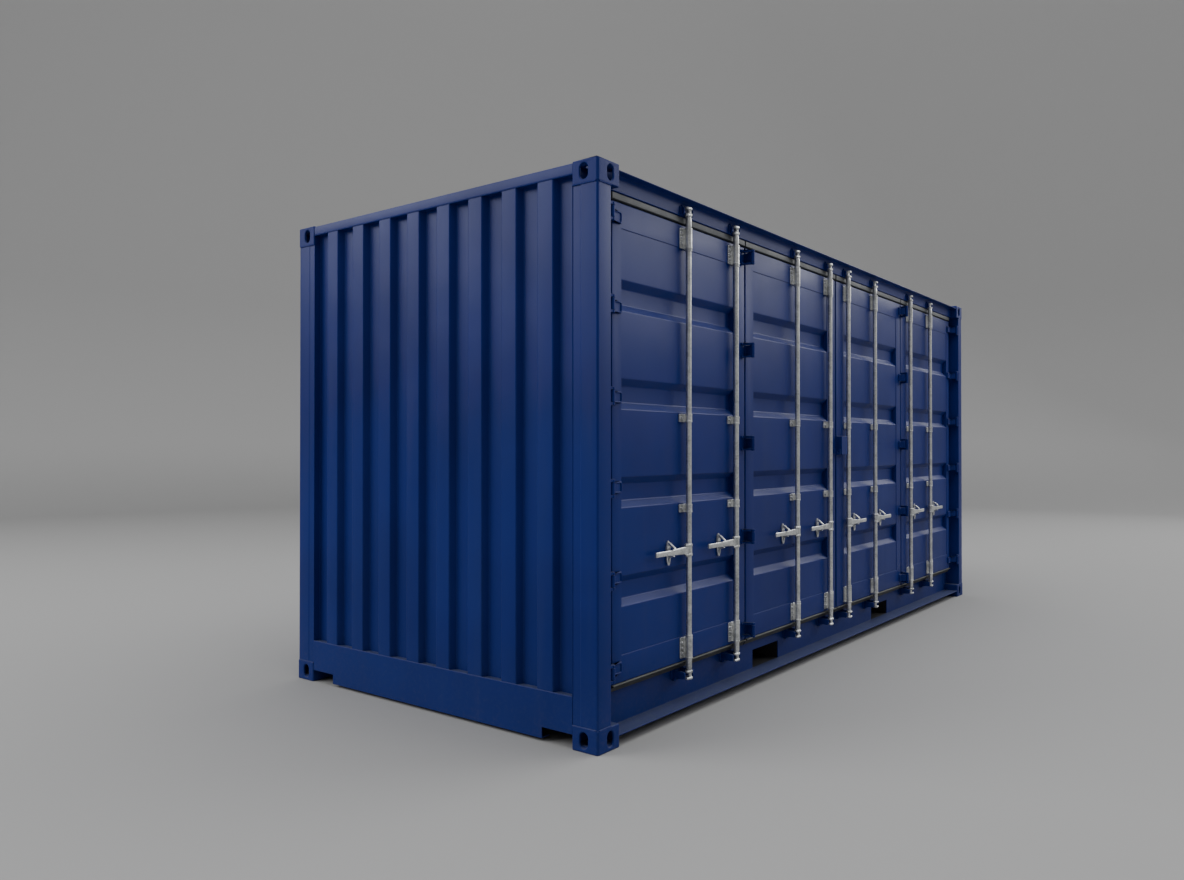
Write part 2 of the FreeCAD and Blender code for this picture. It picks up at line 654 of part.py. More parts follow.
def leaf_seal(number):
    """Return the rubber round a leaf's back, over its head and below its foot."""
    outer, inner = LEAVES[number][:2]
    back = y_at(LEAF_BACK)
    ring = box((outer, inner), (back, back + SEAL_THICK), (LEAF_BOTTOM, LEAF_TOP))
    hole = box((outer + SEAL_WIDTH, inner - SEAL_WIDTH), (back - 1, back + SEAL_THICK + 1),
               (LEAF_BOTTOM + SEAL_WIDTH, LEAF_TOP - SEAL_WIDTH))
    front = LEAF_SETBACK + PANEL_STEP
    head = box((outer, inner), (y_at(front), y_at(front + HEAD_LIP_THICK)),
               (LEAF_TOP, LEAF_TOP + HEAD_LIP_HEIGHT))
    slant = LEAF_THICK - 2 * FOOT_LIP_THICK
    foot = [(outer, y_at(front), LEAF_BOTTOM),
            (outer, y_at(front + FOOT_LIP_THICK), LEAF_BOTTOM),
            (outer, y_at(front + FOOT_LIP_THICK + slant), LEAF_BOTTOM - FOOT_LIP_DROP),
            (outer, y_at(front + slant), LEAF_BOTTOM - FOOT_LIP_DROP)]
    return [ring.cut(hole), head, prism(foot, (inner - outer, 0, 0))]


# ---------------------------------------------------------------- lock rods and fittings

def rod_places(number):
    """Return the X of a leaf's two lock rods."""
    outer, inner = LEAVES[number][:2]
    return outer + ROD_FROM_OUTER, inner - ROD_FROM_INNER


SLEEVE_ZS = [(LEAF_BOTTOM + SLEEVE_END, LEAF_BOTTOM + SLEEVE_END + SLEEVE_HEIGHT),
             (LEAF_TOP - SLEEVE_END - SLEEVE_HEIGHT, LEAF_TOP - SLEEVE_END)]
GUIDE_ZS = [(z - BAND_HALF - GUIDE_BELOW_BAND - GUIDE_HEIGHT / 2.0,
             z - BAND_HALF - GUIDE_BELOW_BAND + GUIDE_HEIGHT / 2.0)
            for z in BAND_CENTRES[1:3]]


def cam(x, z):
    """Return a cam head, two jaws on a hub, from z upwards. The jaws point to -X."""
    y = y_at(ROD_SETBACK)
    hub = cylinder(x, y, (z, z + CAM_HEIGHT), CAM_HUB_RADIUS)
    shapes = [hub]
    for low in (z, z + CAM_HEIGHT - CAM_JAW):
        shapes.append(box((x - CAM_REACH + 6.0, x), (y - CAM_WIDTH / 2.0, y + CAM_WIDTH / 2.0),
                          (low, low + CAM_JAW)))
        shapes.append(cylinder(x - CAM_REACH + CAM_WIDTH / 2.0, y, (low, low + CAM_JAW),
                               CAM_WIDTH / 2.0))
    return joined(shapes)


def lock_rod(x):
    """Return a lock rod with its cams, collars and handle. The handle points to -X."""
    y = y_at(ROD_SETBACK)
    top_shank = (SLEEVE_ZS[1][1] + END_CLEAR, TOP_CAM_Z)
    bottom_shank = (BOTTOM_CAM_Z + CAM_HEIGHT, SLEEVE_ZS[0][0] - END_CLEAR)
    tube = cylinder(x, y, (bottom_shank[1], top_shank[0]), ROD_RADIUS)
    shapes = [tube, cam(x, TOP_CAM_Z), cam(x, BOTTOM_CAM_Z)]
    shapes.append(cylinder(x, y, (top_shank[0], top_shank[1] - END_CLEAR), SHANK_RADIUS))
    shapes.append(cylinder(x, y, (top_shank[1] - END_CLEAR, top_shank[1]), CAM_HUB_RADIUS))
    shapes.append(cylinder(x, y, bottom_shank, SHANK_RADIUS))
    for z in (SLEEVE_ZS[0][1] + END_CLEAR, SLEEVE_ZS[1][0] - END_CLEAR - COLLAR_HEIGHT):
        shapes.append(cylinder(x, y, (z, z + COLLAR_HEIGHT), SHANK_RADIUS))
    half = HUB_HEIGHT / 2.0
    shapes.append(cylinder(x, y, (HANDLE_Z - half, HANDLE_Z + half), HUB_RADIUS))
    bar_y = (y - HANDLE_THICK, y)
    bar_z = (HANDLE_Z - HANDLE_HEIGHT / 2.0, HANDLE_Z + HANDLE_HEIGHT / 2.0)
    shapes.append(box((x - HANDLE_LENGTH, x), bar_y, bar_z))
    return joined(shapes)


def saddle(x, z_pair, radius, plate_span):
    """Return a base plate on a leaf and the bored eye that stands on it round a rod."""
    y = y_at(ROD_SETBACK)
    face = y_at(LEAF_SETBACK)
    plate = box((x + plate_span[0], x + plate_span[1]), (face - FITTING_PLATE, face), z_pair)
    web = box((x - SADDLE_WIDTH / 2.0, x + SADDLE_WIDTH / 2.0), (y, face), z_pair)
    eye = cylinder(x, y, z_pair, radius)
    bore = cylinder(x, y, (z_pair[0] - 1, z_pair[1] + 1), ROD_RADIUS + RUN_CLEAR)
    return joined([plate, web, eye]).cut(bore)


def on_panel(shape, x_pair, z_pair):
    """Add the packing that carries a fitting over the step from the frame to the panel."""
    packing = box(x_pair, (y_at(LEAF_SETBACK), y_at(LEAF_SETBACK + PANEL_STEP)), z_pair)
    return joined([shape, packing])


def catch(x):
    """Return the handle's catch: a plate with an ear below and an ear above the handle."""
    y_plate = (y_at(LEAF_SETBACK - FITTING_PLATE), y_at(LEAF_SETBACK))
    y_ear = (y_at(CATCH_SETBACK), y_at(LEAF_SETBACK))
    x_pair = (x - CATCH_WIDTH / 2.0, x + CATCH_WIDTH / 2.0)
    low = HANDLE_Z - HANDLE_HEIGHT / 2.0 - CATCH_EAR_GAP
    high = HANDLE_Z + HANDLE_HEIGHT / 2.0 + CATCH_EAR_GAP
    plate_z = (low - CATCH_EAR - 8.0, high + CATCH_EAR + CATCH_TAB)
    plate = box(x_pair, y_plate, plate_z)
    lower = box(x_pair, y_ear, (low - CATCH_EAR, low))
    upper = box(x_pair, y_ear, (high, high + CATCH_EAR))
    tab = box((x - 5.0, x + 5.0), y_ear, (high, high + CATCH_TAB))
    return on_panel(joined([plate, lower, upper, tab]), x_pair, plate_z)


def leaf_fittings(number):
    """Return a leaf's rod bearings, guides and handle catches."""
    outer, inner, outer_stile, inner_stile = LEAVES[number]
    field = (outer + outer_stile, inner - inner_stile)
    shapes = []
    for x in rod_places(number):
        for z_pair in SLEEVE_ZS:
            shapes.append(saddle(x, z_pair, SLEEVE_RADIUS, SLEEVE_PLATE))
        for z_pair in GUIDE_ZS:
            guide = saddle(x, z_pair, GUIDE_RADIUS, GUIDE_PLATE)
            span = (x + GUIDE_PLATE[0], min(x + GUIDE_PLATE[1], field[1]))
            shapes.append(on_panel(guide, span, z_pair))
        shapes.append(catch(x - CATCH_OFFSET))
    return shapes


def keeper(x, z_low, strap_z, back):
    """Return an open-fronted keeper: two side lugs and the strap that joins them."""
    inner = CAM_REACH + CAM_CLEAR
    outer = inner + KEEPER_LUG
    z_pair = (z_low, z_low + CAM_HEIGHT)
    span = (min(z_pair[0], strap_z), max(z_pair[1], strap_z + KEEPER_STRAP))
    shapes = [box((x - outer, x + outer), (y_at(KEEPER_SETBACK + 12.0), y_at(back)),
                  (strap_z, strap_z + KEEPER_STRAP))]
    for side in (-1, 1):
        lug = (x + side * inner, x + side * outer)
        foot = (x + side * inner, x + side * (outer + KEEPER_FOOT))
        shapes.append(box(lug, (y_at(KEEPER_SETBACK), y_at(back)), span))
        shapes.append(box(foot, (y_at(back - PLATE), y_at(back)), z_pair))
    return joined(shapes)


def keepers():
    """Return the keepers above and below each rod of the left half."""
    shapes = []
    for number in LEAVES:
        for x in rod_places(number):
            shapes.append(keeper(x, TOP_CAM_Z, TOP_CAM_Z + CAM_HEIGHT + KEEPER_STRAP,
                                 HEADER_SETBACK))
            shapes.append(keeper(x, BOTTOM_CAM_Z,
                                 BOTTOM_CAM_Z - CAM_CLEAR - KEEPER_STRAP, WEB_SETBACK))
    return shapes


def lock_box():
    """Return the open-bottomed padlock box on the third leaf, beside the centre seam."""
    x0 = CENTRE_GAP / 2.0 + LOCK_BOX_INSET
    x1 = x0 + LOCK_BOX_WIDTH
    y_pair = (y_at(LEAF_SETBACK - LOCK_BOX_DEPTH), y_at(LEAF_SETBACK))
    top = LOCK_BOX_Z + LOCK_BOX_HEIGHT
    body = box((x0, x1), y_pair, (LOCK_BOX_Z, top))
    hollow = box((x0 + LOCK_BOX_WALL, x1 - LOCK_BOX_WALL),
                 (y_pair[0] + LOCK_BOX_WALL, y_pair[1] - LOCK_BOX_WALL),
                 (LOCK_BOX_Z - 1, top - LOCK_BOX_WALL))
    return body.cut(hollow)


def lock_eye():
    """Return the bored lug on the second leaf beside the padlock box."""
    x1 = -CENTRE_GAP / 2.0 - LOCK_BOX_INSET
    x_pair = (x1 - PLATE, x1)
    y_pair = (y_at(LEAF_SETBACK - LOCK_BOX_DEPTH), y_at(LEAF_SETBACK))
    lug = box(x_pair, y_pair, (LOCK_BOX_Z, LOCK_BOX_Z + LOCK_EYE_HEIGHT))
    foot = box((x1 - LOCK_EYE_WIDTH, x1), (y_at(LEAF_SETBACK - FITTING_PLATE), y_pair[1]),
               (LOCK_BOX_Z, LOCK_BOX_Z + LOCK_EYE_HEIGHT))
    hole_at = FreeCAD.Vector(x_pair[0] - 1, y_pair[0] + LOCK_BOX_DEPTH / 3.0,
                             LOCK_BOX_Z + LOCK_EYE_HEIGHT / 2.0)
    hole = Part.makeCylinder(LOCK_EYE_HOLE, PLATE + 2, hole_at, FreeCAD.Vector(1, 0, 0))
    return joined([lug, foot]).cut(hole)


# ---------------------------------------------------------------- the whole container

def save_frame():
    """Write every node of the fixed body."""
    casting = bottom_casting()
    middle = FreeCAD.Vector(0, 0, HEIGHT / 2.0)
    top_casting = casting.mirror(middle, FreeCAD.Vector(0, 0, 1))
    save("bottom_corner_castings", four_corners(casting))
    save("top_corner_castings", four_corners(top_casting))
    save("door_side_posts", both_ends([door_post()]))
    save("back_posts", both_ends([mirror_y(post_body())]))
    save("door_side_sill", [door_sill()])
    save("back_sill", [back_sill()])
    save("door_side_header", [door_header()])
    save("back_top_rail", [back_top_rail()])
    save("end_sills", both_ends([end_sill()]))
    save("end_headers", both_ends([end_header()]))
    save("end_walls", both_ends([end_wall()]))
    save("back_wall", [back_wall()])
    save("roof_panel", [roof_panel()])
    save("floor_panel", [floor_panel()])
    save("floor_crossmembers", floor_beams())
    save("fork_pockets", [fork_pocket(-1), fork_pocket(1)])
    save("rod_keepers", both_ends(keepers()))
    save("post_hinges", both_ends([post_hinge(z) for z in POST_HINGE_ZS]))


def save_leaves():
    """Write the four leaves, the right-hand pair as the mirror image of the left."""
    for left, right in ((1, 4), (2, 3)):
        pieces = {"frame": [leaf_frame(left)], "panel": [leaf_panel(left)],
                  "seal": leaf_seal(left), "hinges": leaf_hinges(left),
                  "fittings": leaf_fittings(left)}
        for name, solids in pieces.items():
            save("door_%d_%s" % (left, name), solids)
            save("door_%d_%s" % (right, name), [mirror_x(solid) for solid in solids])
    save("door_2_lock_eye", [lock_eye()])
    save("door_3_lock_box", [lock_box()])


def save_rods():
    """Write the eight lock rods, numbered from -X to +X."""
    places = [x for number in LEAVES for x in rod_places(number)]
    for index, x in enumerate(places):
        rod = lock_rod(x)
        save("lock_rod_%d" % (index + 1), [rod])
        save("lock_rod_%d" % (2 * len(places) - index), [mirror_x(rod)])


def main():
    """Build every node."""
    os.makedirs("parts", exist_ok=True)
    save_frame()
    save_leaves()
    save_rods()


main()
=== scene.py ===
"""Finishes and fine shapes of a side-opening steel container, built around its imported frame.

Lengths are metres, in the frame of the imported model: +X along the container, -Y out of the
side with the leaves, +Z up. A setback is a depth counted inwards from the outermost plane
of that side.
"""
import json
import logging
import math
from dataclasses import dataclass, field
from enum import Enum
from typing import Any, Iterable, Sequence

import bmesh
import bpy
import numpy as np
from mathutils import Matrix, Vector


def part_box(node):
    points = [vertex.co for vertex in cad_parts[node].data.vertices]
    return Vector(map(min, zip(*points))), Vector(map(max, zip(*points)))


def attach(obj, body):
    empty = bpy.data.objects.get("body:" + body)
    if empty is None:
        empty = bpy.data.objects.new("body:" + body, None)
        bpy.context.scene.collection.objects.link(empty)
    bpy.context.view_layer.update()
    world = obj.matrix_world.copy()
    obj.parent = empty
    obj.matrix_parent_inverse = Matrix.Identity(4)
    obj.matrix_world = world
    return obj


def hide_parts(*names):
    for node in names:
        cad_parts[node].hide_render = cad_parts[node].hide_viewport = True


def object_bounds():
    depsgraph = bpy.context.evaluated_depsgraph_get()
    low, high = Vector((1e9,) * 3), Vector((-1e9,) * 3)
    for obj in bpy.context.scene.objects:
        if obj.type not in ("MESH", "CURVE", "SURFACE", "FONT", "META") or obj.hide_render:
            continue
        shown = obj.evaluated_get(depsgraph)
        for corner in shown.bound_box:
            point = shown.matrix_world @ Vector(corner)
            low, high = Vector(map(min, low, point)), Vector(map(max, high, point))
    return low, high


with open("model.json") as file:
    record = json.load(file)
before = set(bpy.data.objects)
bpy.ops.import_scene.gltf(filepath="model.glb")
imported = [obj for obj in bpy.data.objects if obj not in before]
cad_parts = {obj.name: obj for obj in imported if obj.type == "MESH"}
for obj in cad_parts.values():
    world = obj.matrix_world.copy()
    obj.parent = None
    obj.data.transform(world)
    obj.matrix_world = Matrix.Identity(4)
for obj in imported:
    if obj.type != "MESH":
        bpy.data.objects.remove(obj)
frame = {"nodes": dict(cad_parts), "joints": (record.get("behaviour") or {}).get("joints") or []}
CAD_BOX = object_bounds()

LOG = logging.getLogger("container")
Array = np.ndarray
Colour = tuple[float, float, float]
Line = Sequence[Sequence[float]] | Array
X, Y, Z = np.eye(3)

SHARP_EDGE = 35.0       # degrees above which an edge is shaded sharp
EASED_EDGE = 40.0       # degrees above which a CAD edge is rounded
FLAT_EDGE = 1.0         # degrees below which triangles of a CAD copy are joined
MERGE = 1e-6            # distance below which built points are one
COPY_MERGE = 2e-5       # the same, for a CAD copy
WIDEST_TURN = 2.9       # radians past which a bend grows no longer
ARM_SHARE = 0.49        # part of an arm that a bend may use
LEAST_MITRE = 0.35      # keeps a mitre short at a sharp corner
BEAD_STEP = 0.0035      # metres between stations of a weld bead
BEAD_STATIONS = (6, 900)
BEAD_RIPPLE = (0.12, 0.007)
BEAD_SURGE = (0.08, 0.031)


class Slot(Enum):
    """Names of the record's material slots, one kept with each coat."""

    FRAME = "frame_paint"
    SHEET = "sheet_paint"
    DOOR = "door_paint"
    UNDER = "underside_paint"
    ZINC = "galvanised"
    RUBBER = "seal_rubber"
    TIMBER = "floor_timber"


class Half(Enum):
    """Half of the length that a mirrored piece lies in."""

    LEFT = -1
    RIGHT = 1


class Plane(Enum):
    """Plane of a flat outline, by the axes of its two coordinates; first x second is its normal."""

    LEVEL = (0, 1)
    ACROSS = (1, 2)
    ALONG = (0, 2)


# ------------------------------------------------------------------ shader arithmetic

class Value:
    """A shader socket that takes part in Python arithmetic."""

    def __init__(self, graph: "Graph", socket: Any) -> None:
        """Wrap one output socket of a graph."""
        self.graph = graph
        self.socket = socket

    def _math(self, operation: str, first: Any, second: Any) -> "Value":
        """Add a Math node on two numbers or sockets."""
        node = self.graph.node("ShaderNodeMath", {"operation": operation}, {0: first, 1: second})
        return Value(self.graph, node.outputs[0])

    def __add__(self, other: Any) -> "Value":
        """Return self + other."""
        return self._math("ADD", self, other)

    def __radd__(self, other: Any) -> "Value":
        """Return other + self."""
        return self._math("ADD", other, self)

    def __sub__(self, other: Any) -> "Value":
        """Return self - other."""
        return self._math("SUBTRACT", self, other)

    def __rsub__(self, other: Any) -> "Value":
        """Return other - self."""
        return self._math("SUBTRACT", other, self)

    def __mul__(self, other: Any) -> "Value":
        """Return self * other."""
        return self._math("MULTIPLY", self, other)

    def __rmul__(self, other: Any) -> "Value":
        """Return other * self."""
        return self._math("MULTIPLY", other, self)

    def ramp(self, low: float, high: float) -> "Value":
        """Map low..high to 0..1, smoothly and clamped."""
        node = self.graph.node("ShaderNodeMapRange", {"interpolation_type": "SMOOTHSTEP"},
                               {"Value": self, "From Min": low, "From Max": high})
        return Value(self.graph, node.outputs[0])


class Graph:
    """The node tree of one material, with one way to add any node."""

    def __init__(self, name: str) -> None:
        """Start an empty material of the given name."""
        self.material = bpy.data.materials.new(name)
        self.material.use_nodes = True
        self.tree = self.material.node_tree
        self.tree.nodes.clear()
        self.place = Value(self, self.node("ShaderNodeTexCoord", {}, {}).outputs["Object"])

    def node(self, kind: str, settings: dict[str, Any], inputs: dict[Any, Any]) -> Any:
        """Add a node.

        Args:
            kind: the node's type name.
            settings: attributes that are set first.
            inputs: input names or numbers, with a value, a Value or a socket for each.

        Returns:
            The new node.
        """
        node = self.tree.nodes.new(kind)
        for key, setting in settings.items():
            setattr(node, key, setting)
        for key, value in inputs.items():
            if isinstance(value, Value):
                self.tree.links.new(value.socket, node.inputs[key])
            elif isinstance(value, bpy.types.NodeSocket):
                self.tree.links.new(value, node.inputs[key])
            else:
                node.inputs[key].default_value = value
        return node

    def stretched(self, scale: Sequence[float]) -> Value:
        """Return Object coordinates scaled along each axis."""
        node = self.node("ShaderNodeMapping", {}, {"Vector": self.place, "Scale": tuple(scale)})
        return Value(self, node.outputs[0])

    def noise(self, scale: float, detail: float, at: Value | None = None) -> Value:
        """Return a noise of 0..1 with about `scale` waves a metre."""
        node = self.node("ShaderNodeTexNoise", {},
                         {"Vector": at or self.place, "Scale": scale, "Detail": detail})
        return Value(self, node.outputs["Factor" if "Factor" in node.outputs else "Fac"])

    def grain(self, stretch: Sequence[float], detail: float) -> Value:
        """Return a noise of 0..1 with its own number of waves a metre along each axis."""
        return self.noise(1.0, detail, self.stretched(stretch))

    def axis(self, name: str) -> Value:
        """Return one Object coordinate, X, Y or Z."""
        node = self.node("ShaderNodeSeparateXYZ", {}, {0: self.place})
        return Value(self, node.outputs[name])

    def upward(self) -> Value:
        """Return how far the surface faces up, from -1 to 1."""
        facing = self.node("ShaderNodeNewGeometry", {}, {}).outputs["Normal"]
        return Value(self, self.node("ShaderNodeSeparateXYZ", {}, {0: facing}).outputs["Z"])

    def mix(self, factor: Any, first: Any, second: Any) -> Value:
        """Mix two colours, each a socket or a linear (r, g, b)."""
        def opaque(colour: Any) -> Any:
            """Give a plain colour its alpha."""
            return colour if isinstance(colour, Value) else (*colour, 1.0)
        node = self.node("ShaderNodeMix", {"data_type": "RGBA"},
                         {"Factor": factor, 6: opaque(first), 7: opaque(second)})
        return Value(self, node.outputs[2])

    def bump(self, height: Value, depth: float, strength: float = 1.0) -> Value:
        """Return a Normal raised by a height of 0..1 times a depth in metres."""
        node = self.node("ShaderNodeBump", {}, {"Height": height, "Distance": depth,
                                                "Strength": strength})
        return Value(self, node.outputs[0])

    def surface(self, inputs: dict[str, Any]) -> bpy.types.Material:
        """End the tree with a Principled BSDF and return the material."""
        shader = self.node("ShaderNodeBsdfPrincipled", {}, inputs)
        self.node("ShaderNodeOutputMaterial", {}, {"Surface": shader.outputs[0]})
        return self.material


# ------------------------------------------------------------------ finishes

@dataclass(frozen=True)
class PaintedSteel:
    """Satin paint on steel, a little uneven, with dust low down and painted top light and dust on
    upward faces.
    """

    name: str
    colour: Colour = (0.0070, 0.0215, 0.172)
    shade: Colour = (0.0050, 0.0153, 0.130)
    # dust colour; on upward faces it also stands in for light from above, as a painted top light
    dust_and_top_light: Colour = (0.085, 0.098, 0.137)
    roughness: float = 0.36
    gloss: float = 0.16
    grain_depth: float = 0.0006
    grain_scale: float = 420.0
    dent_depth: float = 0.004
    dent_scale: float = 2.6
    cloud_scale: float = 1.3
    run_stretch: tuple[float, float, float] = (9.0, 9.0, 0.55)
    speck_scale: float = 45.0
    dust_height: float = 0.55
    dust_share: float = 0.17
    ledge_dust_and_light_share: float = 0.80

    def material(self) -> bpy.types.Material:
        """Build the paint: cloudy colour, faint runs, dust low down, painted top light and dust on
        upward faces, grain.
        """
        graph = Graph(self.name)
        cloud = graph.noise(self.cloud_scale, 4.0).ramp(0.3, 0.75)
        runs = graph.grain(self.run_stretch, 4.0).ramp(0.5, 0.8)
        low = 1.0 - graph.axis("Z").ramp(0.0, self.dust_height)
        specks = graph.noise(self.speck_scale, 5.0).ramp(0.45, 0.75)
        colour = graph.mix(cloud * 0.8, self.colour, self.shade)
        colour = graph.mix(runs * 0.07, colour, self.dust_and_top_light)
        colour = graph.mix(low * (0.35 + specks * 0.65) * self.dust_share, colour, self.dust_and_top_light)
        # upward faces painted lighter: dust, and a painted top light standing in for light from
        # above
        ledge_dust_and_light = graph.upward().ramp(0.55, 0.97) * (0.65 + specks * 0.35)
        colour = graph.mix(ledge_dust_and_light * self.ledge_dust_and_light_share, colour, self.dust_and_top_light)
        peel = graph.noise(self.grain_scale, 2.0)
        dents = graph.noise(self.dent_scale, 1.0)
        rough = self.roughness + cloud * 0.05 + runs * 0.06 + low * 0.10
        shaped = graph.bump(dents, self.dent_depth)
        normal = graph.node("ShaderNodeBump", {}, {
            "Height": peel, "Distance": self.grain_depth, "Strength": 0.35, "Normal": shaped})
        return graph.surface({"Base Color": colour, "Roughness": rough,
                              "Normal": normal.outputs[0], "Specular IOR Level": self.gloss})


@dataclass(frozen=True)
class Galvanised:
    """Hot-dip zinc: pale spangles, cloudy patches and a soft metal gloss."""

    name: str = "zinc_coating"
    pale: Colour = (0.80, 0.81, 0.80)
    dull: Colour = (0.34, 0.35, 0.355)
    metal: float = 0.85
    spangle_scale: float = 110.0
    cloud_scale: float = 14.0
    streak_stretch: tuple[float, float, float] = (60.0, 60.0, 3.0)
    grain_depth: float = 0.0002

    def material(self) -> bpy.types.Material:
        """Build the zinc from cells of unequal brightness."""
        graph = Graph(self.name)
        cells = graph.node("ShaderNodeTexVoronoi", {}, {"Vector": graph.place,
                                                        "Scale": self.spangle_scale})
        tone = graph.node("ShaderNodeSeparateColor", {}, {0: cells.outputs["Color"]})
        spangle = Value(graph, tone.outputs[0])
        cloud = graph.noise(self.cloud_scale, 4.0).ramp(0.35, 0.7)
        streak = graph.grain(self.streak_stretch, 3.0)
        colour = graph.mix(spangle * 0.35 + cloud * 0.5, self.pale, self.dull)
        rough = 0.28 + spangle * 0.12 + cloud * 0.12
        height = streak * 0.5 + spangle * 0.5
        return graph.surface({"Base Color": colour, "Roughness": rough, "Metallic": self.metal,
                              "Normal": graph.bump(height, self.grain_depth, 0.4)})


@dataclass(frozen=True)
class Rubber:
    """Extruded black rubber with a grey bloom."""

    name: str = "black_rubber"
    black: Colour = (0.020, 0.020, 0.020)
    bloom: Colour = (0.090, 0.093, 0.086)
    # painted sheen: a lighter grey standing in for light reflected by the head lip
    painted_sheen: Colour = (0.098, 0.106, 0.116)
    # dust colour of upward faces, also standing in for light from above as a painted top light
    dust_and_top_light: Colour = (0.165, 0.170, 0.155)
    head_height: float = 2.735
    head_blend: float = 0.01
    patch_scale: float = 6.0
    line_scale: float = 300.0
    line_depth: float = 0.0004

    def material(self) -> bpy.types.Material:
        """Build the rubber with bloom in patches, painted top light and dust on upward faces, and
        fine die lines.

        Above `head_height` metres it is painted a lighter grey, a painted sheen of light reflected
        by the head lip.
        """
        graph = Graph(self.name)
        patch = graph.noise(self.patch_scale, 5.0).ramp(0.35, 0.7)
        fine = graph.noise(self.line_scale, 2.0)
        # upward faces painted lighter: dust, and a painted top light where the lips catch light from
        # above
        ledge_dust_and_light = graph.upward().ramp(0.25, 0.9)
        # above head_height the rubber is painted lighter, as a painted sheen of reflected light
        high = graph.axis("Z").ramp(self.head_height, self.head_height + self.head_blend)
        colour = graph.mix(patch * 0.45, self.black, self.bloom)
        colour = graph.mix(high * (0.75 + patch * 0.2), colour, self.painted_sheen)
        colour = graph.mix(ledge_dust_and_light * (0.55 + patch * 0.35), colour, self.dust_and_top_light)
        return graph.surface({"Base Color": colour, "Roughness": 0.52 + patch * 0.16,
                              "Normal": graph.bump(fine, self.line_depth, 0.4)})


@dataclass(frozen=True)
class Underbody:
    """Matt black wax coating under the floor."""

    name: str = "underbody_wax"
    black: Colour = (0.016, 0.016, 0.018)
    thin: Colour = (0.040, 0.038, 0.036)
    patch_scale: float = 5.0
    lump_scale: float = 70.0
    lump_depth: float = 0.0012

    def material(self) -> bpy.types.Material:
        """Build the coating with thick and thin patches."""
        graph = Graph(self.name)
        patch = graph.noise(self.patch_scale, 6.0).ramp(0.4, 0.7)
        lumps = graph.noise(self.lump_scale, 4.0)
        colour = graph.mix(patch, self.black, self.thin)
        return graph.surface({"Base Color": colour, "Roughness": 0.62 + patch * 0.12,
                              "Normal": graph.bump(lumps, self.lump_depth, 0.6)})


@dataclass(frozen=True)
class Plywood:
    """Red-brown plywood floor boards with grain along the length."""

    name: str = "floor_plywood"
    light: Colour = (0.30, 0.155, 0.078)
    dark: Colour = (0.135, 0.062, 0.030)
    scuffed: Colour = (0.33, 0.27, 0.22)
    grain_stretch: tuple[float, float, float] = (2.2, 95.0, 95.0)
    figure_stretch: tuple[float, float, float] = (0.9, 9.0, 9.0)
    scuff_scale: float = 7.0
    grain_depth: float = 0.0006

    def material(self) -> bpy.types.Material:
        """Build long grain lines over broad figure and scuffs."""
        graph = Graph(self.name)
        warp = graph.noise(2.2, 3.0)
        grain = graph.grain(self.grain_stretch, 6.0).ramp(0.3, 0.72)
        figure = graph.grain(self.figure_stretch, 3.0).ramp(0.3, 0.7)
        scuff = graph.noise(self.scuff_scale, 6.0).ramp(0.55, 0.8)
        colour = graph.mix(grain * 0.6 + figure * 0.35, self.light, self.dark)
        colour = graph.mix(scuff * warp * 0.5, colour, self.scuffed)
        return graph.surface({"Base Color": colour, "Roughness": 0.46 + scuff * 0.22,
                              "Normal": graph.bump(grain, self.grain_depth, 0.5)})


@dataclass(frozen=True)
class StudioPaper:
    """Plain pale grey backdrop."""

    name: str = "studio_paper"
    floor: Colour = (0.34, 0.34, 0.34)
    wall: Colour = (0.43, 0.43, 0.43)
    rise: tuple[float, float] = (-0.3, 1.8)
    fibre_scale: float = 0.35

    def material(self) -> bpy.types.Material:
        """Build the matt paper, paler up the wall than on the floor."""
        graph = Graph(self.name)
        fibre = graph.noise(self.fibre_scale, 2.0)
        rise = graph.axis("Z").ramp(*self.rise)
        colour = graph.mix(rise * (0.97 + fibre * 0.06), self.floor, self.wall)
        return graph.surface({"Base Color": colour, "Roughness": 0.9,
                              "Specular IOR Level": 0.1})


@dataclass(frozen=True)
class Coat:
    """A finish, with the name of one of the record's material slots."""

    material: bpy.types.Material
    slot: Slot


class Finishes:
    """Every coat of the container, built once."""

    def __init__(self) -> None:
        """Build the materials."""
        self.frame = Coat(PaintedSteel("frame_blue", dent_depth=0.0012).material(), Slot.FRAME)
        self.sheet = Coat(PaintedSteel("sheet_blue", dent_depth=0.006).material(), Slot.SHEET)
        self.door = Coat(PaintedSteel("door_blue", dent_depth=0.004, roughness=0.38).material(),
                         Slot.DOOR)
        cast = PaintedSteel("casting_blue", grain_depth=0.0022, dent_depth=0.003, roughness=0.46)
        self.cast = Coat(cast.material(), Slot.FRAME)
        self.forged = Coat(self.cast.material, Slot.DOOR)
        self.zinc = Coat(Galvanised().material(), Slot.ZINC)
        self.rubber = Coat(Rubber().material(), Slot.RUBBER)
        self.under = Coat(Underbody().material(), Slot.UNDER)
        self.timber = Coat(Plywood().material(), Slot.TIMBER)
        self.paper = StudioPaper().material()


# ------------------------------------------------------------------ lines and outlines

def unit(vectors: Array) -> Array:
    """Scale vectors to length one, and leave zero vectors alone."""
    length = np.linalg.norm(vectors, axis=-1, keepdims=True)
    return vectors / np.where(length > 0, length, 1.0)


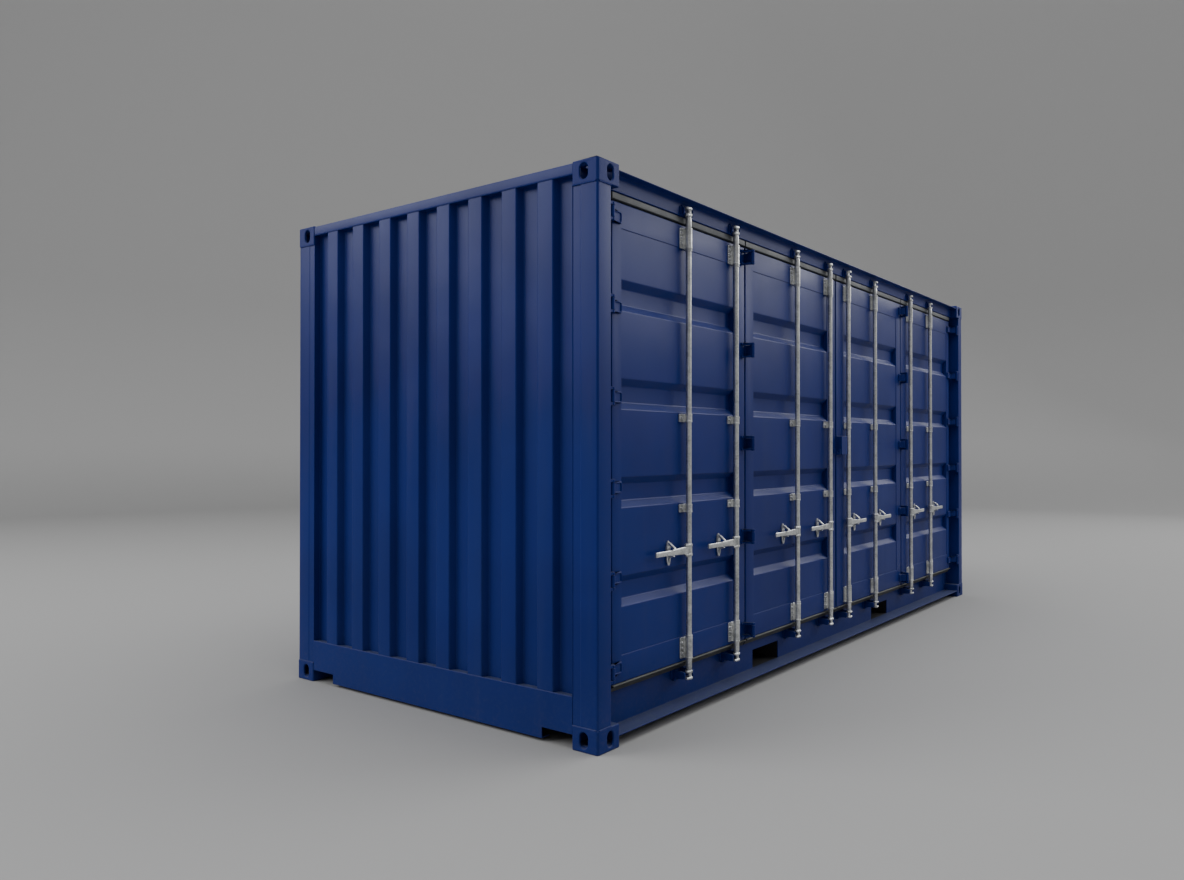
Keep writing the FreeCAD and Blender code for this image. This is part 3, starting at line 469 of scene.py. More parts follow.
def bent(points: Line, radius: float | Array, steps: int = 5, closed: bool = False) -> Array:
    """Round the corners of a line.

    Each corner P turns into the parabola (1-t)^2 A + 2t(1-t) P + t^2 B, where A and B lie on
    its two arms at the bend's tangent length, radius * tan(turn / 2), but never past the
    middle of an arm.

    Args:
        points: corners, one row each.
        radius: bend radius, one for all corners or one for each.
        steps: points per bend.
        closed: whether the last corner joins the first.

    Returns:
        The rounded line, one row a point.
    """
    corner = np.asarray(points, float)
    before, after = np.roll(corner, 1, 0), np.roll(corner, -1, 0)
    arm_in, arm_out = before - corner, after - corner
    near = np.clip(np.sum(unit(arm_in) * unit(arm_out), axis=1), -1, 1)
    turn = math.pi - np.arccos(near)
    tangent = radius * np.tan(np.minimum(turn, WIDEST_TURN) / 2)
    shorter = np.minimum(np.linalg.norm(arm_in, axis=1), np.linalg.norm(arm_out, axis=1))
    tangent = np.minimum(tangent, ARM_SHARE * shorter)[:, None]
    start, end = corner + unit(arm_in) * tangent, corner + unit(arm_out) * tangent
    t = np.linspace(0, 1, steps)[None, :, None]
    curve = (1 - t) ** 2 * start[:, None] + 2 * t * (1 - t) * corner[:, None] + t ** 2 * end[:, None]
    if closed:
        return curve.reshape(-1, corner.shape[1])
    return np.vstack([corner[:1], curve[1:-1].reshape(-1, corner.shape[1]), corner[-1:]])


def ring(points: Line, radius: float | Array, steps: int = 4) -> Array:
    """Return a closed outline with its corners bent."""
    return bent(points, radius, steps, closed=True)


def _mitred(line: Array, distance: float, first: Array, last: Array) -> Array:
    """Move each point of a flat line along the mitre of the two normals that meet there."""
    share = 1.0 + np.sum(first * last, axis=1, keepdims=True)
    return line + distance * (first + last) / np.maximum(share, LEAST_MITRE)


def inset(outline: Array, distance: float) -> Array:
    """Move a closed flat outline inwards along its mitred normals."""
    edge = unit(np.roll(outline, -1, 0) - outline)
    x, y = outline[:, 0], outline[:, 1]
    area = np.sum(x * np.roll(y, -1) - np.roll(x, -1) * y)
    normal = np.stack([-edge[:, 1], edge[:, 0]], 1) * np.sign(area)
    return _mitred(outline, distance, normal, np.roll(normal, 1, 0))


def beside(line: Array, distance: float) -> Array:
    """Return an open line shifted sideways, along its left-hand normals."""
    edge = unit(np.diff(line, axis=0))
    normal = np.stack([-edge[:, 1], edge[:, 0]], 1)
    return _mitred(line, distance, np.vstack([normal[:1], normal]),
                   np.vstack([normal, normal[-1:]]))


def rectangle(low: Sequence[float], high: Sequence[float], radius: float, steps: int = 4) -> Array:
    """Return a rectangle's outline with round corners."""
    (x0, y0), (x1, y1) = low, high
    return ring([(x0, y0), (x1, y0), (x1, y1), (x0, y1)], radius, steps)


def circle(radius: float, count: int) -> Array:
    """Return `count` points round a circle."""
    angle = np.arange(count) * (2 * math.pi / count)
    return radius * np.stack([np.cos(angle), np.sin(angle)], 1)


def both_ends(rows: Line, low: float, high: float) -> Array:
    """Return the (radius, height) profile of a turned piece that is alike at both ends.

    Args:
        rows: (radius, distance from the end) from an end towards the middle.
        low: height of the lower end.
        high: height of the upper end.

    Returns:
        The profile, from the lower end to the upper one.
    """
    radius, inwards = np.asarray(rows, float).T
    return np.vstack([np.stack([radius, low + inwards], 1),
                      np.stack([radius, high - inwards], 1)[::-1]])


def wave(start: float, end: float, troughs: Array, floor: float, slope: float,
         depth: float, radius: float, steps: int = 5) -> Array:
    """Return the (along, inwards) line of a folded sheet with bent corners.

    A trough lies `depth` inwards over its floor and comes back over its slope on each side.
    """
    reach = np.array([-floor / 2 - slope, -floor / 2, floor / 2, floor / 2 + slope])
    stations = np.unique(np.concatenate([(troughs[:, None] + reach).ravel(), [start, end]]))
    stations = stations[(stations >= start - 1e-9) & (stations <= end + 1e-9)]
    near = np.abs(stations[:, None] - troughs[None]).min(axis=1)
    inwards = depth * (1.0 - np.clip((near - floor / 2) / slope, 0.0, 1.0))
    return bent(np.stack([stations, inwards], 1), radius, steps)


# ------------------------------------------------------------------ what every part shares

@dataclass(frozen=True)
class Extent:
    """Lowest and highest corner of a CAD node."""

    low: Array
    high: Array

    @classmethod
    def of(cls, node: str) -> "Extent":
        """Read the extent of a CAD node."""
        low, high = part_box(node)
        return cls(np.array(low), np.array(high))

    def span(self, axis: int) -> tuple[float, float]:
        """Return the lowest and the highest place along an axis."""
        return self.low[axis], self.high[axis]

    def upright_corners(self) -> Array:
        """Return the four (x, z) corners, from low-low round to low-high."""
        x, z = self.span(0), self.span(2)
        return np.array([(x[0], z[0]), (x[1], z[0]), (x[1], z[1]), (x[0], z[1])])


def smooth(mesh: bpy.types.Mesh, sharp: float = SHARP_EDGE) -> None:
    """Shade a mesh smooth, with sharp edges above an angle in degrees."""
    mesh.shade_smooth()
    mesh.set_sharp_from_angle(angle=math.radians(sharp))


def publish(piece: bpy.types.Object, body: str, coat: Coat, replaces: Iterable[str] = ()) -> None:
    """Dress a piece and tie it to the frame.

    Args:
        piece: the finished object.
        body: CAD body that it rides on.
        coat: its finish.
        replaces: CAD nodes that it stands for.
    """
    piece.data.materials.clear()
    piece.data.materials.append(coat.material)
    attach(piece, body)
    for node in replaces:
        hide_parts(node)
    LOG.info("%s: %d faces on %s", piece.name, len(piece.data.polygons), body)


def eased_copy(node: str, body: str, coat: Coat, width: float, segments: int = 2,
               clamp: bool = True) -> None:
    """Stand a copy of a CAD node, merged and with rounded edges, in for the node.

    Args:
        node: CAD node to copy.
        body: body that it rides on.
        coat: its finish.
        width: width of the rounded edge.
        segments: steps across a rounded edge.
        clamp: whether short edges hold the width down.
    """
    mesh = frame["nodes"][node].data.copy()
    work = bmesh.new()
    work.from_mesh(mesh)
    bmesh.ops.remove_doubles(work, verts=work.verts, dist=COPY_MERGE)
    bmesh.ops.dissolve_limit(work, angle_limit=math.radians(FLAT_EDGE), verts=work.verts,
                             edges=work.edges)
    work.to_mesh(mesh)
    work.free()
    smooth(mesh)
    piece = bpy.data.objects.new(node + "_eased", mesh)
    bpy.context.scene.collection.objects.link(piece)
    bevel = piece.modifiers.new("eased_edges", "BEVEL")
    bevel.width = width
    bevel.segments = segments
    bevel.limit_method = "ANGLE"
    bevel.angle_limit = math.radians(EASED_EDGE)
    bevel.use_clamp_overlap = clamp
    bevel.harden_normals = True
    solid = piece.evaluated_get(bpy.context.evaluated_depsgraph_get())
    shape = bpy.data.meshes.new_from_object(solid)
    piece.modifiers.clear()
    places = np.empty(len(shape.vertices) * 3)
    shape.vertices.foreach_get("co", places)
    box = Extent.of(node)
    shape.vertices.foreach_set("co", np.clip(places.reshape(-1, 3), box.low, box.high).ravel())
    piece.data = shape
    publish(piece, body, coat, [node])


def dress(node: str, material: bpy.types.Material) -> None:
    """Give a CAD node that stays in view a finish."""
    mesh = frame["nodes"][node].data
    mesh.materials.clear()
    mesh.materials.append(material)
    LOG.info("%s: CAD shape kept", node)


def joint_place(name: str) -> Array:
    """Return the point that a joint's axis runs through."""
    row = next(joint for joint in frame["joints"] if joint["name"] == name)
    return np.array(row["pos_m"])


@dataclass(frozen=True)
class Layout:
    """Planes of the whole container, read from the frame, and the plate sizes used on it."""

    side: float = float(CAD_BOX[1][1])
    frame_x: float = float(Extent.of("back_posts").high[0])
    post_x: float = float(Extent.of("back_wall").high[0])
    jamb_x: float = float(Extent.of("floor_crossmembers").high[0])
    casting_x: float = float(Extent.of("back_top_rail").high[0])
    casting_y: float = float(Extent.of("end_headers").high[1])
    web_y: float = float(Extent.of("door_side_sill").high[1])
    header_face: float = 0.060
    plate: float = 0.006
    sheet: float = 0.002

    def plan(self, corners: Line, radius: float | Array = 0.0) -> Array:
        """Turn (x, setback) corners into an (x, y) outline with bent corners."""
        outline = np.asarray(corners, float) - np.array([0.0, self.side])
        return ring(outline, radius) if np.any(radius) else outline

    def upright(self, corners: Line, radius: float) -> Array:
        """Turn (setback, z) corners into a (y, z) outline with bent corners."""
        return ring(np.array(corners) - [self.side, 0], radius, 5)

    def depth(self, far: float, near: float) -> tuple[float, float]:
        """Turn two setbacks into the span of a plate that lies along the side."""
        return self.side - far, self.side - near


PLAN = Layout()


# ------------------------------------------------------------------ meshes from arrays

@dataclass
class Shell:
    """Surfaces worked out as whole arrays, gathered into one mesh."""

    points: list[Array] = field(default_factory=list)
    faces: list[list[int]] = field(default_factory=list)
    count: int = 0

    def grid(self, grid: Array, wrap_u: bool = False, wrap_v: bool = False,
             caps: bool = False) -> None:
        """Add a grid of points as quads, with flat ends if asked.

        Args:
            grid: points as (u, v, 3).
            wrap_u: whether the last row joins the first.
            wrap_v: whether the last column joins the first.
            caps: whether the first and last rows are closed with a face each.
        """
        index = np.arange(grid.shape[0] * grid.shape[1]).reshape(grid.shape[:2]) + self.count
        ends = (index[0][::-1], index[-1])
        if wrap_u:
            index = np.vstack([index, index[:1]])
        if wrap_v:
            index = np.hstack([index, index[:, :1]])
        quads = np.stack([index[:-1, :-1], index[1:, :-1], index[1:, 1:], index[:-1, 1:]], -1)
        self.faces.extend(quads.reshape(-1, 4).tolist())
        if caps:
            self.faces.extend(end.tolist() for end in ends)
        self.points.append(grid.reshape(-1, 3))
        self.count += grid.shape[0] * grid.shape[1]

    def lathe(self, profile: Line, centre: Sequence[float], axis: Array = Z, segments: int = 24,
              closed: bool = False) -> None:
        """Add a turned surface: radius r at height h goes to c + h a + r (cos t u + sin t v).

        Args:
            profile: (radius, height) rows.
            centre: point that height 0 lies at.
            axis: unit vector that the surface turns about.
            segments: steps round.
            closed: whether the profile is a ring, so that the piece has a bore.
        """
        rows = np.asarray(profile, float)
        u = unit(np.cross(axis, X if abs(axis[0]) < 0.9 else Y))
        v = np.cross(axis, u)
        turn = circle(1.0, segments) @ np.stack([u, v])
        grid = np.asarray(centre) + rows[:, 1, None, None] * axis + rows[:, 0, None, None] * turn
        self.grid(grid, wrap_u=closed, wrap_v=True, caps=not closed)

    def plate(self, outline: Array, span: Sequence[float], plane: Plane,
              chamfer: float = 0.0005) -> None:
        """Add a flat plate: an outline in a plane, made thick along the plane's normal.

        The rim runs through four rows: drawn in by the chamfer, full, full, drawn in.

        Args:
            outline: closed outline, one row a point.
            span: lowest and highest place along the normal.
            plane: plane that the outline lies in.
            chamfer: width of the broken edge.
        """
        across, up = np.eye(3)[list(plane.value)]
        small = inset(outline, chamfer)
        low, high = span
        rows = [line[:, :1] * across + line[:, 1:] * up + depth * np.cross(across, up)
                for line, depth in ((small, low), (outline, low + chamfer),
                                    (outline, high - chamfer), (small, high))]
        self.grid(np.stack(rows), wrap_v=True, caps=True)

    def tube(self, path: Array, profile: Array, up: Sequence[float] | Array,
             scale: Array | None = None) -> None:
        """Carry a closed profile along a path: p + a side + b rise at each station.

        Side is tangent x up, and rise is side x tangent.

        Args:
            path: stations, one row each.
            profile: closed (a, b) outline.
            up: vector that is never along the path.
            scale: size of the profile at each station.
        """
        tangent = unit(np.vstack([path[1:], path[-1:]]) - np.vstack([path[:1], path[:-1]]))
        side = unit(np.cross(tangent, np.asarray(up, float)))
        rise = np.cross(side, tangent)
        size = np.ones(len(path)) if scale is None else scale
        grid = (path[:, None] + size[:, None, None]
                * (profile[None, :, :1] * side[:, None] + profile[None, :, 1:] * rise[:, None]))
        self.grid(grid, wrap_v=True, caps=True)

    def weld(self, start: Sequence[float], end: Sequence[float], radius: float) -> None:
        """Add a weld bead: a round bar whose radius ripples and, more slowly, surges."""
        first, last = np.asarray(start, float), np.asarray(end, float)
        length = float(np.linalg.norm(last - first))
        fewest, most = BEAD_STATIONS
        share = np.linspace(0, 1, max(fewest, min(int(length / BEAD_STEP), most)))
        ripple = 1.0
        for height, pitch in (BEAD_RIPPLE, BEAD_SURGE):
            ripple = ripple + height * np.sin(share * length / pitch * 2 * math.pi)
        path = first + share[:, None] * (last - first)
        up = X if abs(unit(last - first)[0]) < 0.7 else Z
        self.tube(path, circle(radius, 8), up, ripple)

    def sheet(self, line: Array, thick: float, run: Sequence[float], origin: Sequence[float],
              axes: Sequence[Array]) -> None:
        """Add a folded sheet: an open line, its copy a thickness behind, carried along a length.

        A line's point (a, b) at place r of the run goes to o + a u + b v + r w.

        Args:
            line: (along, inwards) rows of the outer face.
            thick: sheet thickness.
            run: first and last place along the length.
            origin: point o.
            axes: unit vectors u, v and w.
        """
        loop = np.vstack([line, beside(line, thick)[::-1]])
        along, inwards, way = axes
        flat = np.asarray(origin) + loop[:, :1] * along + loop[:, 1:] * inwards
        grid = flat[None] + np.asarray(run)[:, None, None] * way
        self.grid(grid, wrap_v=True)
        half = len(line)
        for row in grid:
            self.grid(np.stack([row[:half], row[half:][::-1]]))

    def hoop(self, outer: Extent, inner: Extent, section: Line) -> None:
        """Carry a section round an upright rectangle with mitred corners.

        Args:
            outer: extent whose (x, z) corners the section's share 0 follows.
            inner: extent whose corners its share 1 follows.
            section: (share, offset, y) rows, moved towards the middle by the offset.
        """
        rows = np.asarray(section, float)[None]
        signs = np.array([(1, 1), (-1, 1), (-1, -1), (1, -1)], float)
        share = rows[..., :1]
        flat = outer.upright_corners()[:, None] * (1 - share)
        flat = flat + inner.upright_corners()[:, None] * share + signs[:, None] * rows[..., 1:2]
        depth = np.broadcast_to(rows[..., 2:3], flat.shape[:2] + (1,))
        self.grid(np.concatenate([flat[..., :1], depth, flat[..., 1:]], -1), True, True)

    def object(self, name: str, half: Half = Half.LEFT, sharp: float = SHARP_EDGE
               ) -> bpy.types.Object:
        """Make the Blender object, with its doubles merged and its normals outwards.

        Args:
            name: object name.
            half: RIGHT mirrors a shape that was built in the left half.
            sharp: angle in degrees above which an edge stays sharp.

        Returns:
            The object, at the origin.
        """
        mesh = bpy.data.meshes.new(name)
        points = np.vstack(self.points) * [-half.value, 1, 1]
        mesh.from_pydata(points.tolist(), [], self.faces)
        work = bmesh.new()
        work.from_mesh(mesh)
        bmesh.ops.remove_doubles(work, verts=work.verts, dist=MERGE)
        bmesh.ops.recalc_face_normals(work, faces=work.faces)
        work.to_mesh(mesh)
        work.free()
        smooth(mesh, sharp)
        made = bpy.data.objects.new(name, mesh)
        bpy.context.scene.collection.objects.link(made)
        return made

    def publish(self, name: str, coat: Coat, replaces: Iterable[str] = (), body: str = "frame",
                half: Half = Half.LEFT) -> None:
        """Make the object, dress it and tie it to the frame."""
        publish(self.object(name, half), body, coat, replaces)


def bolt(shell: Shell, centre: Sequence[float], axis: Array, across: float) -> None:
    """Add a washer and a hexagon head, both turned surfaces, the head with six segments."""
    r = across / 2
    shell.lathe([(r * 1.25, -0.0005), (r * 1.25, 0.0016), (r * 1.15, 0.0022)], centre, axis, 16)
    shell.lathe([(r, 0.0015), (r * 1.08, 0.002), (r * 1.08, 0.0085), (r * 0.9, 0.0105)],
                centre, axis, 6)


# ------------------------------------------------------------------ castings and posts

@dataclass
class Corners:
    """Castings, posts and the weld beads between them."""

    finishes: Finishes
    casting_edge: float = 0.0065
    casting_steps: int = 3
    round_edge: float = 0.012
    post_bends: tuple[float, ...] = (0.012, 0.006, 0.003, 0.002, 0.004, 0.004)
    bead: float = 0.0045
    step: float = 0.0025
    step_width: float = 0.048
    step_slope: float = 0.008
    jamb_depth: float = 0.030

    def build(self) -> None:
        """Build the castings and both pairs of posts."""
        for node in ("bottom_corner_castings", "top_corner_castings"):
            eased_copy(node, "frame", self.finishes.cast, self.casting_edge, self.casting_steps,
                       clamp=False)
        self._posts("door_side_posts", True)
        self._posts("back_posts", False)
        self._beads()

    def _posts(self, node: str, door_side: bool) -> None:
        """Build one pair of posts as upright prisms with rolled edges.

        The outline runs round the post in plan, and the end face steps in by a few
        millimetres where the end wall laps it.
        """
        top, post = Extent.of(node).high[2], Extent.of("back_posts")
        x0, y0 = post.low[0], -post.high[1]
        depth = post.high[1] - post.low[1]
        width = PLAN.frame_x - PLAN.post_x
        lap = y0 + depth - self.step_width
        outline = [(x0, y0), (x0 + width, y0), (x0 + width, y0 + depth),
                   (x0 + self.step, y0 + depth), (x0 + self.step, lap),
                   (x0, lap - self.step_slope)]
        rolled = ring(outline, np.array(self.post_bends), 6)
        front, back = PLAN.web_y - PLAN.plate, PLAN.web_y + self.jamb_depth
        jamb = rectangle((-PLAN.post_x, front), (-PLAN.jamb_x, back), 0.004)
        head = rectangle((-PLAN.casting_x, front), (-PLAN.jamb_x, back), 0.002)
        shell = Shell()
        for half in Half:
            sign = np.array([-half.value, 1.0 if door_side else -1.0])
            shell.plate(rolled * sign, post.span(2), Plane.LEVEL)
            if door_side:
                shell.plate(jamb * sign, (post.low[2], top), Plane.LEVEL)
                shell.plate(head * sign, (post.high[2], top), Plane.LEVEL)
        shell.publish(node + "_rolled", self.finishes.frame, [node])

    def _beads(self) -> None:
        """Lay weld beads round each post's ends and up the edges of the end walls."""
        post, sill = Extent.of("back_posts"), Extent.of("end_sills").high[2]
        x0, y0 = post.high[0], post.high[1]
        x1, y1 = PLAN.post_x, post.low[1]
        x2, y2 = x0 - self.round_edge, y0 - self.round_edge
        shell = Shell()
        for half in Half:
            for way in (-1, 1):
                def bead(*places: tuple[float, float, float], radius: float = self.bead) -> None:
                    """Lay a bead between two places, moved to this corner."""
                    shell.weld(*(np.array(place) * [half.value, way, 1] for place in places),
                               radius)
                for z in post.span(2):
                    bead((x0, y2, z), (x0, y1, z))
                    bead((x2, y0, z), (x1, y0, z))
                    bead((x0, y2, z), (x2, y0, z))
                bead((x0 - self.step, y1, sill), (x0 - self.step, y1, post.high[2]),
                     radius=self.bead * 0.6)
        shell.publish("corner_weld_beads", self.finishes.frame)


# ------------------------------------------------------------------ rails

@dataclass
class Rails:
    """Top rails, header with its rain lip, and the sills."""

    finishes: Finishes
    sill_edge: float = 0.0018
    lip_rise: float = 0.083
    lip_thick: float = 0.003
    lip_root: float = 0.006
    header_bends: tuple[float, ...] = (0.004, 0.002, 0.004, 0.020, 0.004, 0.001, 0.0005, 0.003)
    end_header_width: float = 0.060
    end_header_bend: float = 0.005
    back_rail_bend: float = 0.007
    bead: float = 0.003
    end_bead: float = 0.0026

    def build(self) -> None:
        """Build every rail."""
        for node in ("door_side_sill", "back_sill", "end_sills"):
            eased_copy(node, "frame", self.finishes.frame, self.sill_edge)
        self._header()
        self._end_headers()
        self._back_rail()
        self._beads()

    def _header(self) -> None:
        """Build the header: a box section with a drooping lip, and the flange behind."""
        box = Extent.of("door_side_header")
        face, back = PLAN.header_face - PLAN.side, box.high[1]
        foot, top = Extent.of("door_side_posts").high[2], box.high[2]
        lip = foot + self.lip_rise
        outline = [(face, foot), (back, foot), (back, top), (face, top),
                   (face, lip + self.lip_root), (box.low[1], lip + self.lip_thick),
                   (box.low[1], lip), (face, lip)]
        shell = Shell()
        shell.plate(ring(outline, np.array(self.header_bends)), box.span(0), Plane.ACROSS)
        flange = rectangle((back - PLAN.plate, box.low[2]), (back, foot + 0.001), 0.0015)
        shell.plate(flange, (-PLAN.jamb_x, PLAN.jamb_x), Plane.ACROSS)
        y, z = face + 0.001, lip - 0.001
        shell.weld((-PLAN.jamb_x, y, z), (PLAN.jamb_x, y, z), self.bead)
        shell.publish("header_with_lip", self.finishes.frame, ["door_side_header"])

    def _end_headers(self) -> None:
        """Build the rails over both end walls, rolled along their edges."""
        box = Extent.of("end_headers")
        shell = Shell()
        for half in Half:
            x = sorted((box.high[0] * half.value,
                        (box.high[0] - self.end_header_width) * half.value))
            outline = rectangle((x[0], box.low[2]), (x[1], box.high[2]), self.end_header_bend, 5)
            shell.plate(outline, (-box.high[1], -box.low[1]), Plane.ALONG)
        shell.publish("end_headers_rolled", self.finishes.frame, ["end_headers"])

    def _back_rail(self) -> None:
        """Build the square rail over the back wall."""
        box = Extent.of("back_top_rail")
        shell = Shell()
        outline = rectangle(box.low[1:], box.high[1:], self.back_rail_bend, 5)
        shell.plate(outline, box.span(0), Plane.ACROSS)
        shell.publish("back_rail_rolled", self.finishes.frame, ["back_top_rail"])

    def _beads(self) -> None:
        """Lay beads along the feet and heads of the end walls."""
        sill, head, wall = map(Extent.of, ("end_sills", "end_headers", "end_walls"))
        shell = Shell()
        for half in Half:
            x = (sill.high[0] - 0.003) * half.value
            for z in (sill.high[2], head.low[2]):
                shell.weld((x, wall.low[1], z), (x, wall.high[1], z), self.end_bead)
        shell.publish("rail_weld_beads", self.finishes.frame)


# ------------------------------------------------------------------ folded sheets

@dataclass
class FoldedSheets:
    """End walls, back wall and roof, each one wave line carried along a length.

    A wave is a trough's floor, its slope and its depth.
    """

    finishes: Finishes
    end_pitch: float = 0.250
    end_wave: tuple[float, float, float] = (0.110, 0.018, 0.0415)
    end_bend: float = 0.010
    end_setback: float = 0.0035
    back_pitch: float = 0.278
    back_wave: tuple[float, float, float] = (0.070, 0.068, 0.036)
    back_bend: float = 0.014
    roof_pitch: float = 0.209
    roof_wave: tuple[float, float, float] = (0.070, 0.025, 0.020)
    roof_bend: float = 0.012
    roof_bead: float = 0.003

    def build(self) -> None:
        """Build all sheets."""
        self._ends()
        self._back()
        self._roof()
        self._roof_beads()

    @staticmethod
    def troughs(pitch: float, reach: float) -> Array:
        """Return trough centres set out from the middle."""
        count = math.ceil(reach / pitch)
        return np.arange(-count, count + 1) * pitch

    def _ends(self) -> None:
        """Carry the end wave upwards, once at each end."""
        box = Extent.of("end_walls")
        line = wave(box.low[1], box.high[1], self.troughs(self.end_pitch, box.high[1]),
                    *self.end_wave, self.end_bend, 6)
        shell = Shell()
        for half in Half:
            outwards = half.value * X
            shell.sheet(line, PLAN.sheet, box.span(2), (box.high[0] - self.end_setback) * outwards,
                        (Y, -outwards, Z))
        shell.publish("end_sheets", self.finishes.sheet, ["end_walls"])

    def _back(self) -> None:
        """Carry the back wave upwards, narrower between the top castings."""
        box = Extent.of("back_wall")
        inner = Extent.of("back_top_rail").high[0]
        shoulder = Extent.of("back_posts").high[2]
        shell = Shell()
        for reach, low, high in ((box.high[0], box.low[2], shoulder),
                                 (inner, shoulder, box.high[2])):
            line = wave(-reach, reach, self.troughs(self.back_pitch, reach), *self.back_wave,
                        self.back_bend)
            shell.sheet(line, PLAN.sheet, (low, high), box.high[1] * Y, (X, -Y, Z))
        shell.publish("back_sheet", self.finishes.sheet, ["back_wall"])

    def _roof(self) -> None:
        """Carry the roof wave across, in three strips that pass the castings."""
        box, casting = Extent.of("roof_panel"), PLAN.casting_y
        floor, slope, _ = self.roof_wave
        inner = Extent.of("back_top_rail").high[0]
        troughs = self.troughs(self.roof_pitch, inner)
        troughs = troughs[np.abs(troughs) + floor / 2 + slope < inner]
        shell = Shell()
        for reach, low, high in ((inner, box.low[1], -casting), (box.high[0], -casting, casting),
                                 (inner, casting, box.high[1])):
            line = wave(-reach, reach, troughs, *self.roof_wave, self.roof_bend)
            shell.sheet(line, PLAN.sheet, (low, high), box.high[2] * Z, (X, -Z, Y))
        shell.publish("roof_sheet", self.finishes.sheet, ["roof_panel"])

    def _roof_beads(self) -> None:
        """Lay the beads that close the roof sheet to its rails and castings."""
        box, head = Extent.of("roof_panel"), Extent.of("back_top_rail")
        shell = Shell()
        z = box.high[2] - 0.001
        for y in box.span(1):
            shell.weld((head.low[0], y, z), (head.high[0], y, z), self.roof_bead)
        for x in box.span(0):
            shell.weld((x, -PLAN.casting_y, z), (x, PLAN.casting_y, z), self.roof_bead)
        shell.publish("roof_weld_beads", self.finishes.frame)


# ------------------------------------------------------------------ floor

@dataclass
class Floor:
    """Plywood sheets with their screws, and the channels under them."""

    finishes: Finishes
    columns: int = 5
    gap: float = 0.003
    screws_per_row: int = 8
    screw_margin: float = 0.05
    screw_offset: float = 0.022
    screw_head: tuple[tuple[float, float], ...] = ((0.0060, -0.002), (0.0066, 0.0002),
                                                   (0.0062, 0.0005), (0.0020, 0.0001))
    channel_pitch: float = 0.305
    channel_flange: float = 0.045
    channel_thick: float = 0.005
    channel_bend: float = 0.007

    def build(self) -> None:
        """Build boards, screws and channels."""
        self._boards()
        self._screws()
        self._channels()
        dress("fork_pockets", self.finishes.under.material)

    def _boards(self) -> None:
        """Lay two rows of sheets, the outermost ones notched round posts and jambs."""
        box = Extent.of("floor_panel")
        jamb, post = (PLAN.jamb_x, -PLAN.casting_y), (PLAN.post_x, PLAN.casting_y)
        cuts = np.linspace(box.low[0], box.high[0], self.columns + 1)
        middle = (box.low[1] + box.high[1]) / 2
        shell = Shell()
        for x0, x1 in zip(cuts[:-1] + self.gap / 2, cuts[1:] - self.gap / 2):
            for y0, y1, notch in ((box.low[1], middle - self.gap / 2, jamb),
                                  (middle + self.gap / 2, box.high[1], post)):
                outline = self._notched((x0, y0), (x1, y1), notch, box)
                shell.plate(outline, box.span(2), Plane.LEVEL, 0.0015)
        shell.publish("plywood_sheets", self.finishes.timber, ["floor_panel"])

    @staticmethod
    def _notched(low: tuple[float, float], high: tuple[float, float],
                 notch: tuple[float, float], box: Extent) -> Array:
        """Return a sheet's outline, with the corner beyond the notch's point left out."""
        (x0, y0), (x1, y1) = low, high
        nx, ny = notch
        front = ny < 0
        left = x0 <= box.low[0] + 0.01
        right = x1 >= box.high[0] - 0.01
        bottom = [(x0, y0), (x1, y0)]
        top = [(x1, y1), (x0, y1)]
        if front and left:
            bottom[0:1] = [(x0, ny), (-nx, ny), (-nx, y0)]
        if front and right:
            bottom[-1:] = [(nx, y0), (nx, ny), (x1, ny)]
        if not front and right:
            top[0:1] = [(x1, ny), (nx, ny), (nx, y1)]
        if not front and left:
            top[-1:] = [(-nx, y1), (-nx, ny), (x0, ny)]
        return np.array(bottom + top)

    def _screws(self) -> None:
        """Drive a row of flat screw heads into each channel."""
        box = Extent.of("floor_panel")
        shell = Shell()
        rows = np.linspace(box.low[1] + self.screw_margin, box.high[1] - self.screw_margin,
                           self.screws_per_row)
        for x in self._channel_places():
            for y in rows:
                shell.lathe(self.screw_head, (x - self.screw_offset, y, box.high[2]), Z, 8)
        shell.publish("floor_screws", self.finishes.zinc)

    def _channel_places(self) -> Array:
        """Return the X of each channel's web."""
        box = Extent.of("floor_crossmembers")
        first = box.low[0] + self.channel_flange
        count = int(round((box.high[0] - box.low[0] - self.channel_flange)
                          / self.channel_pitch)) + 1
        return np.linspace(first, box.high[0], count)

    def _channels(self) -> None:
        """Carry a bent C line across the width, once for each channel."""
        box = Extent.of("floor_crossmembers")
        shell = Shell()
        for x in self._channel_places():
            edge = x - self.channel_flange
            line = bent([(edge, box.low[2]), (x, box.low[2]), (x, box.high[2]),
                         (edge, box.high[2])], self.channel_bend)
            shell.sheet(line, self.channel_thick, box.span(1), (0, 0, 0), (X, Z, Y))
        shell.publish("floor_channels", self.finishes.under, ["floor_crossmembers"])


# ------------------------------------------------------------------ leaves

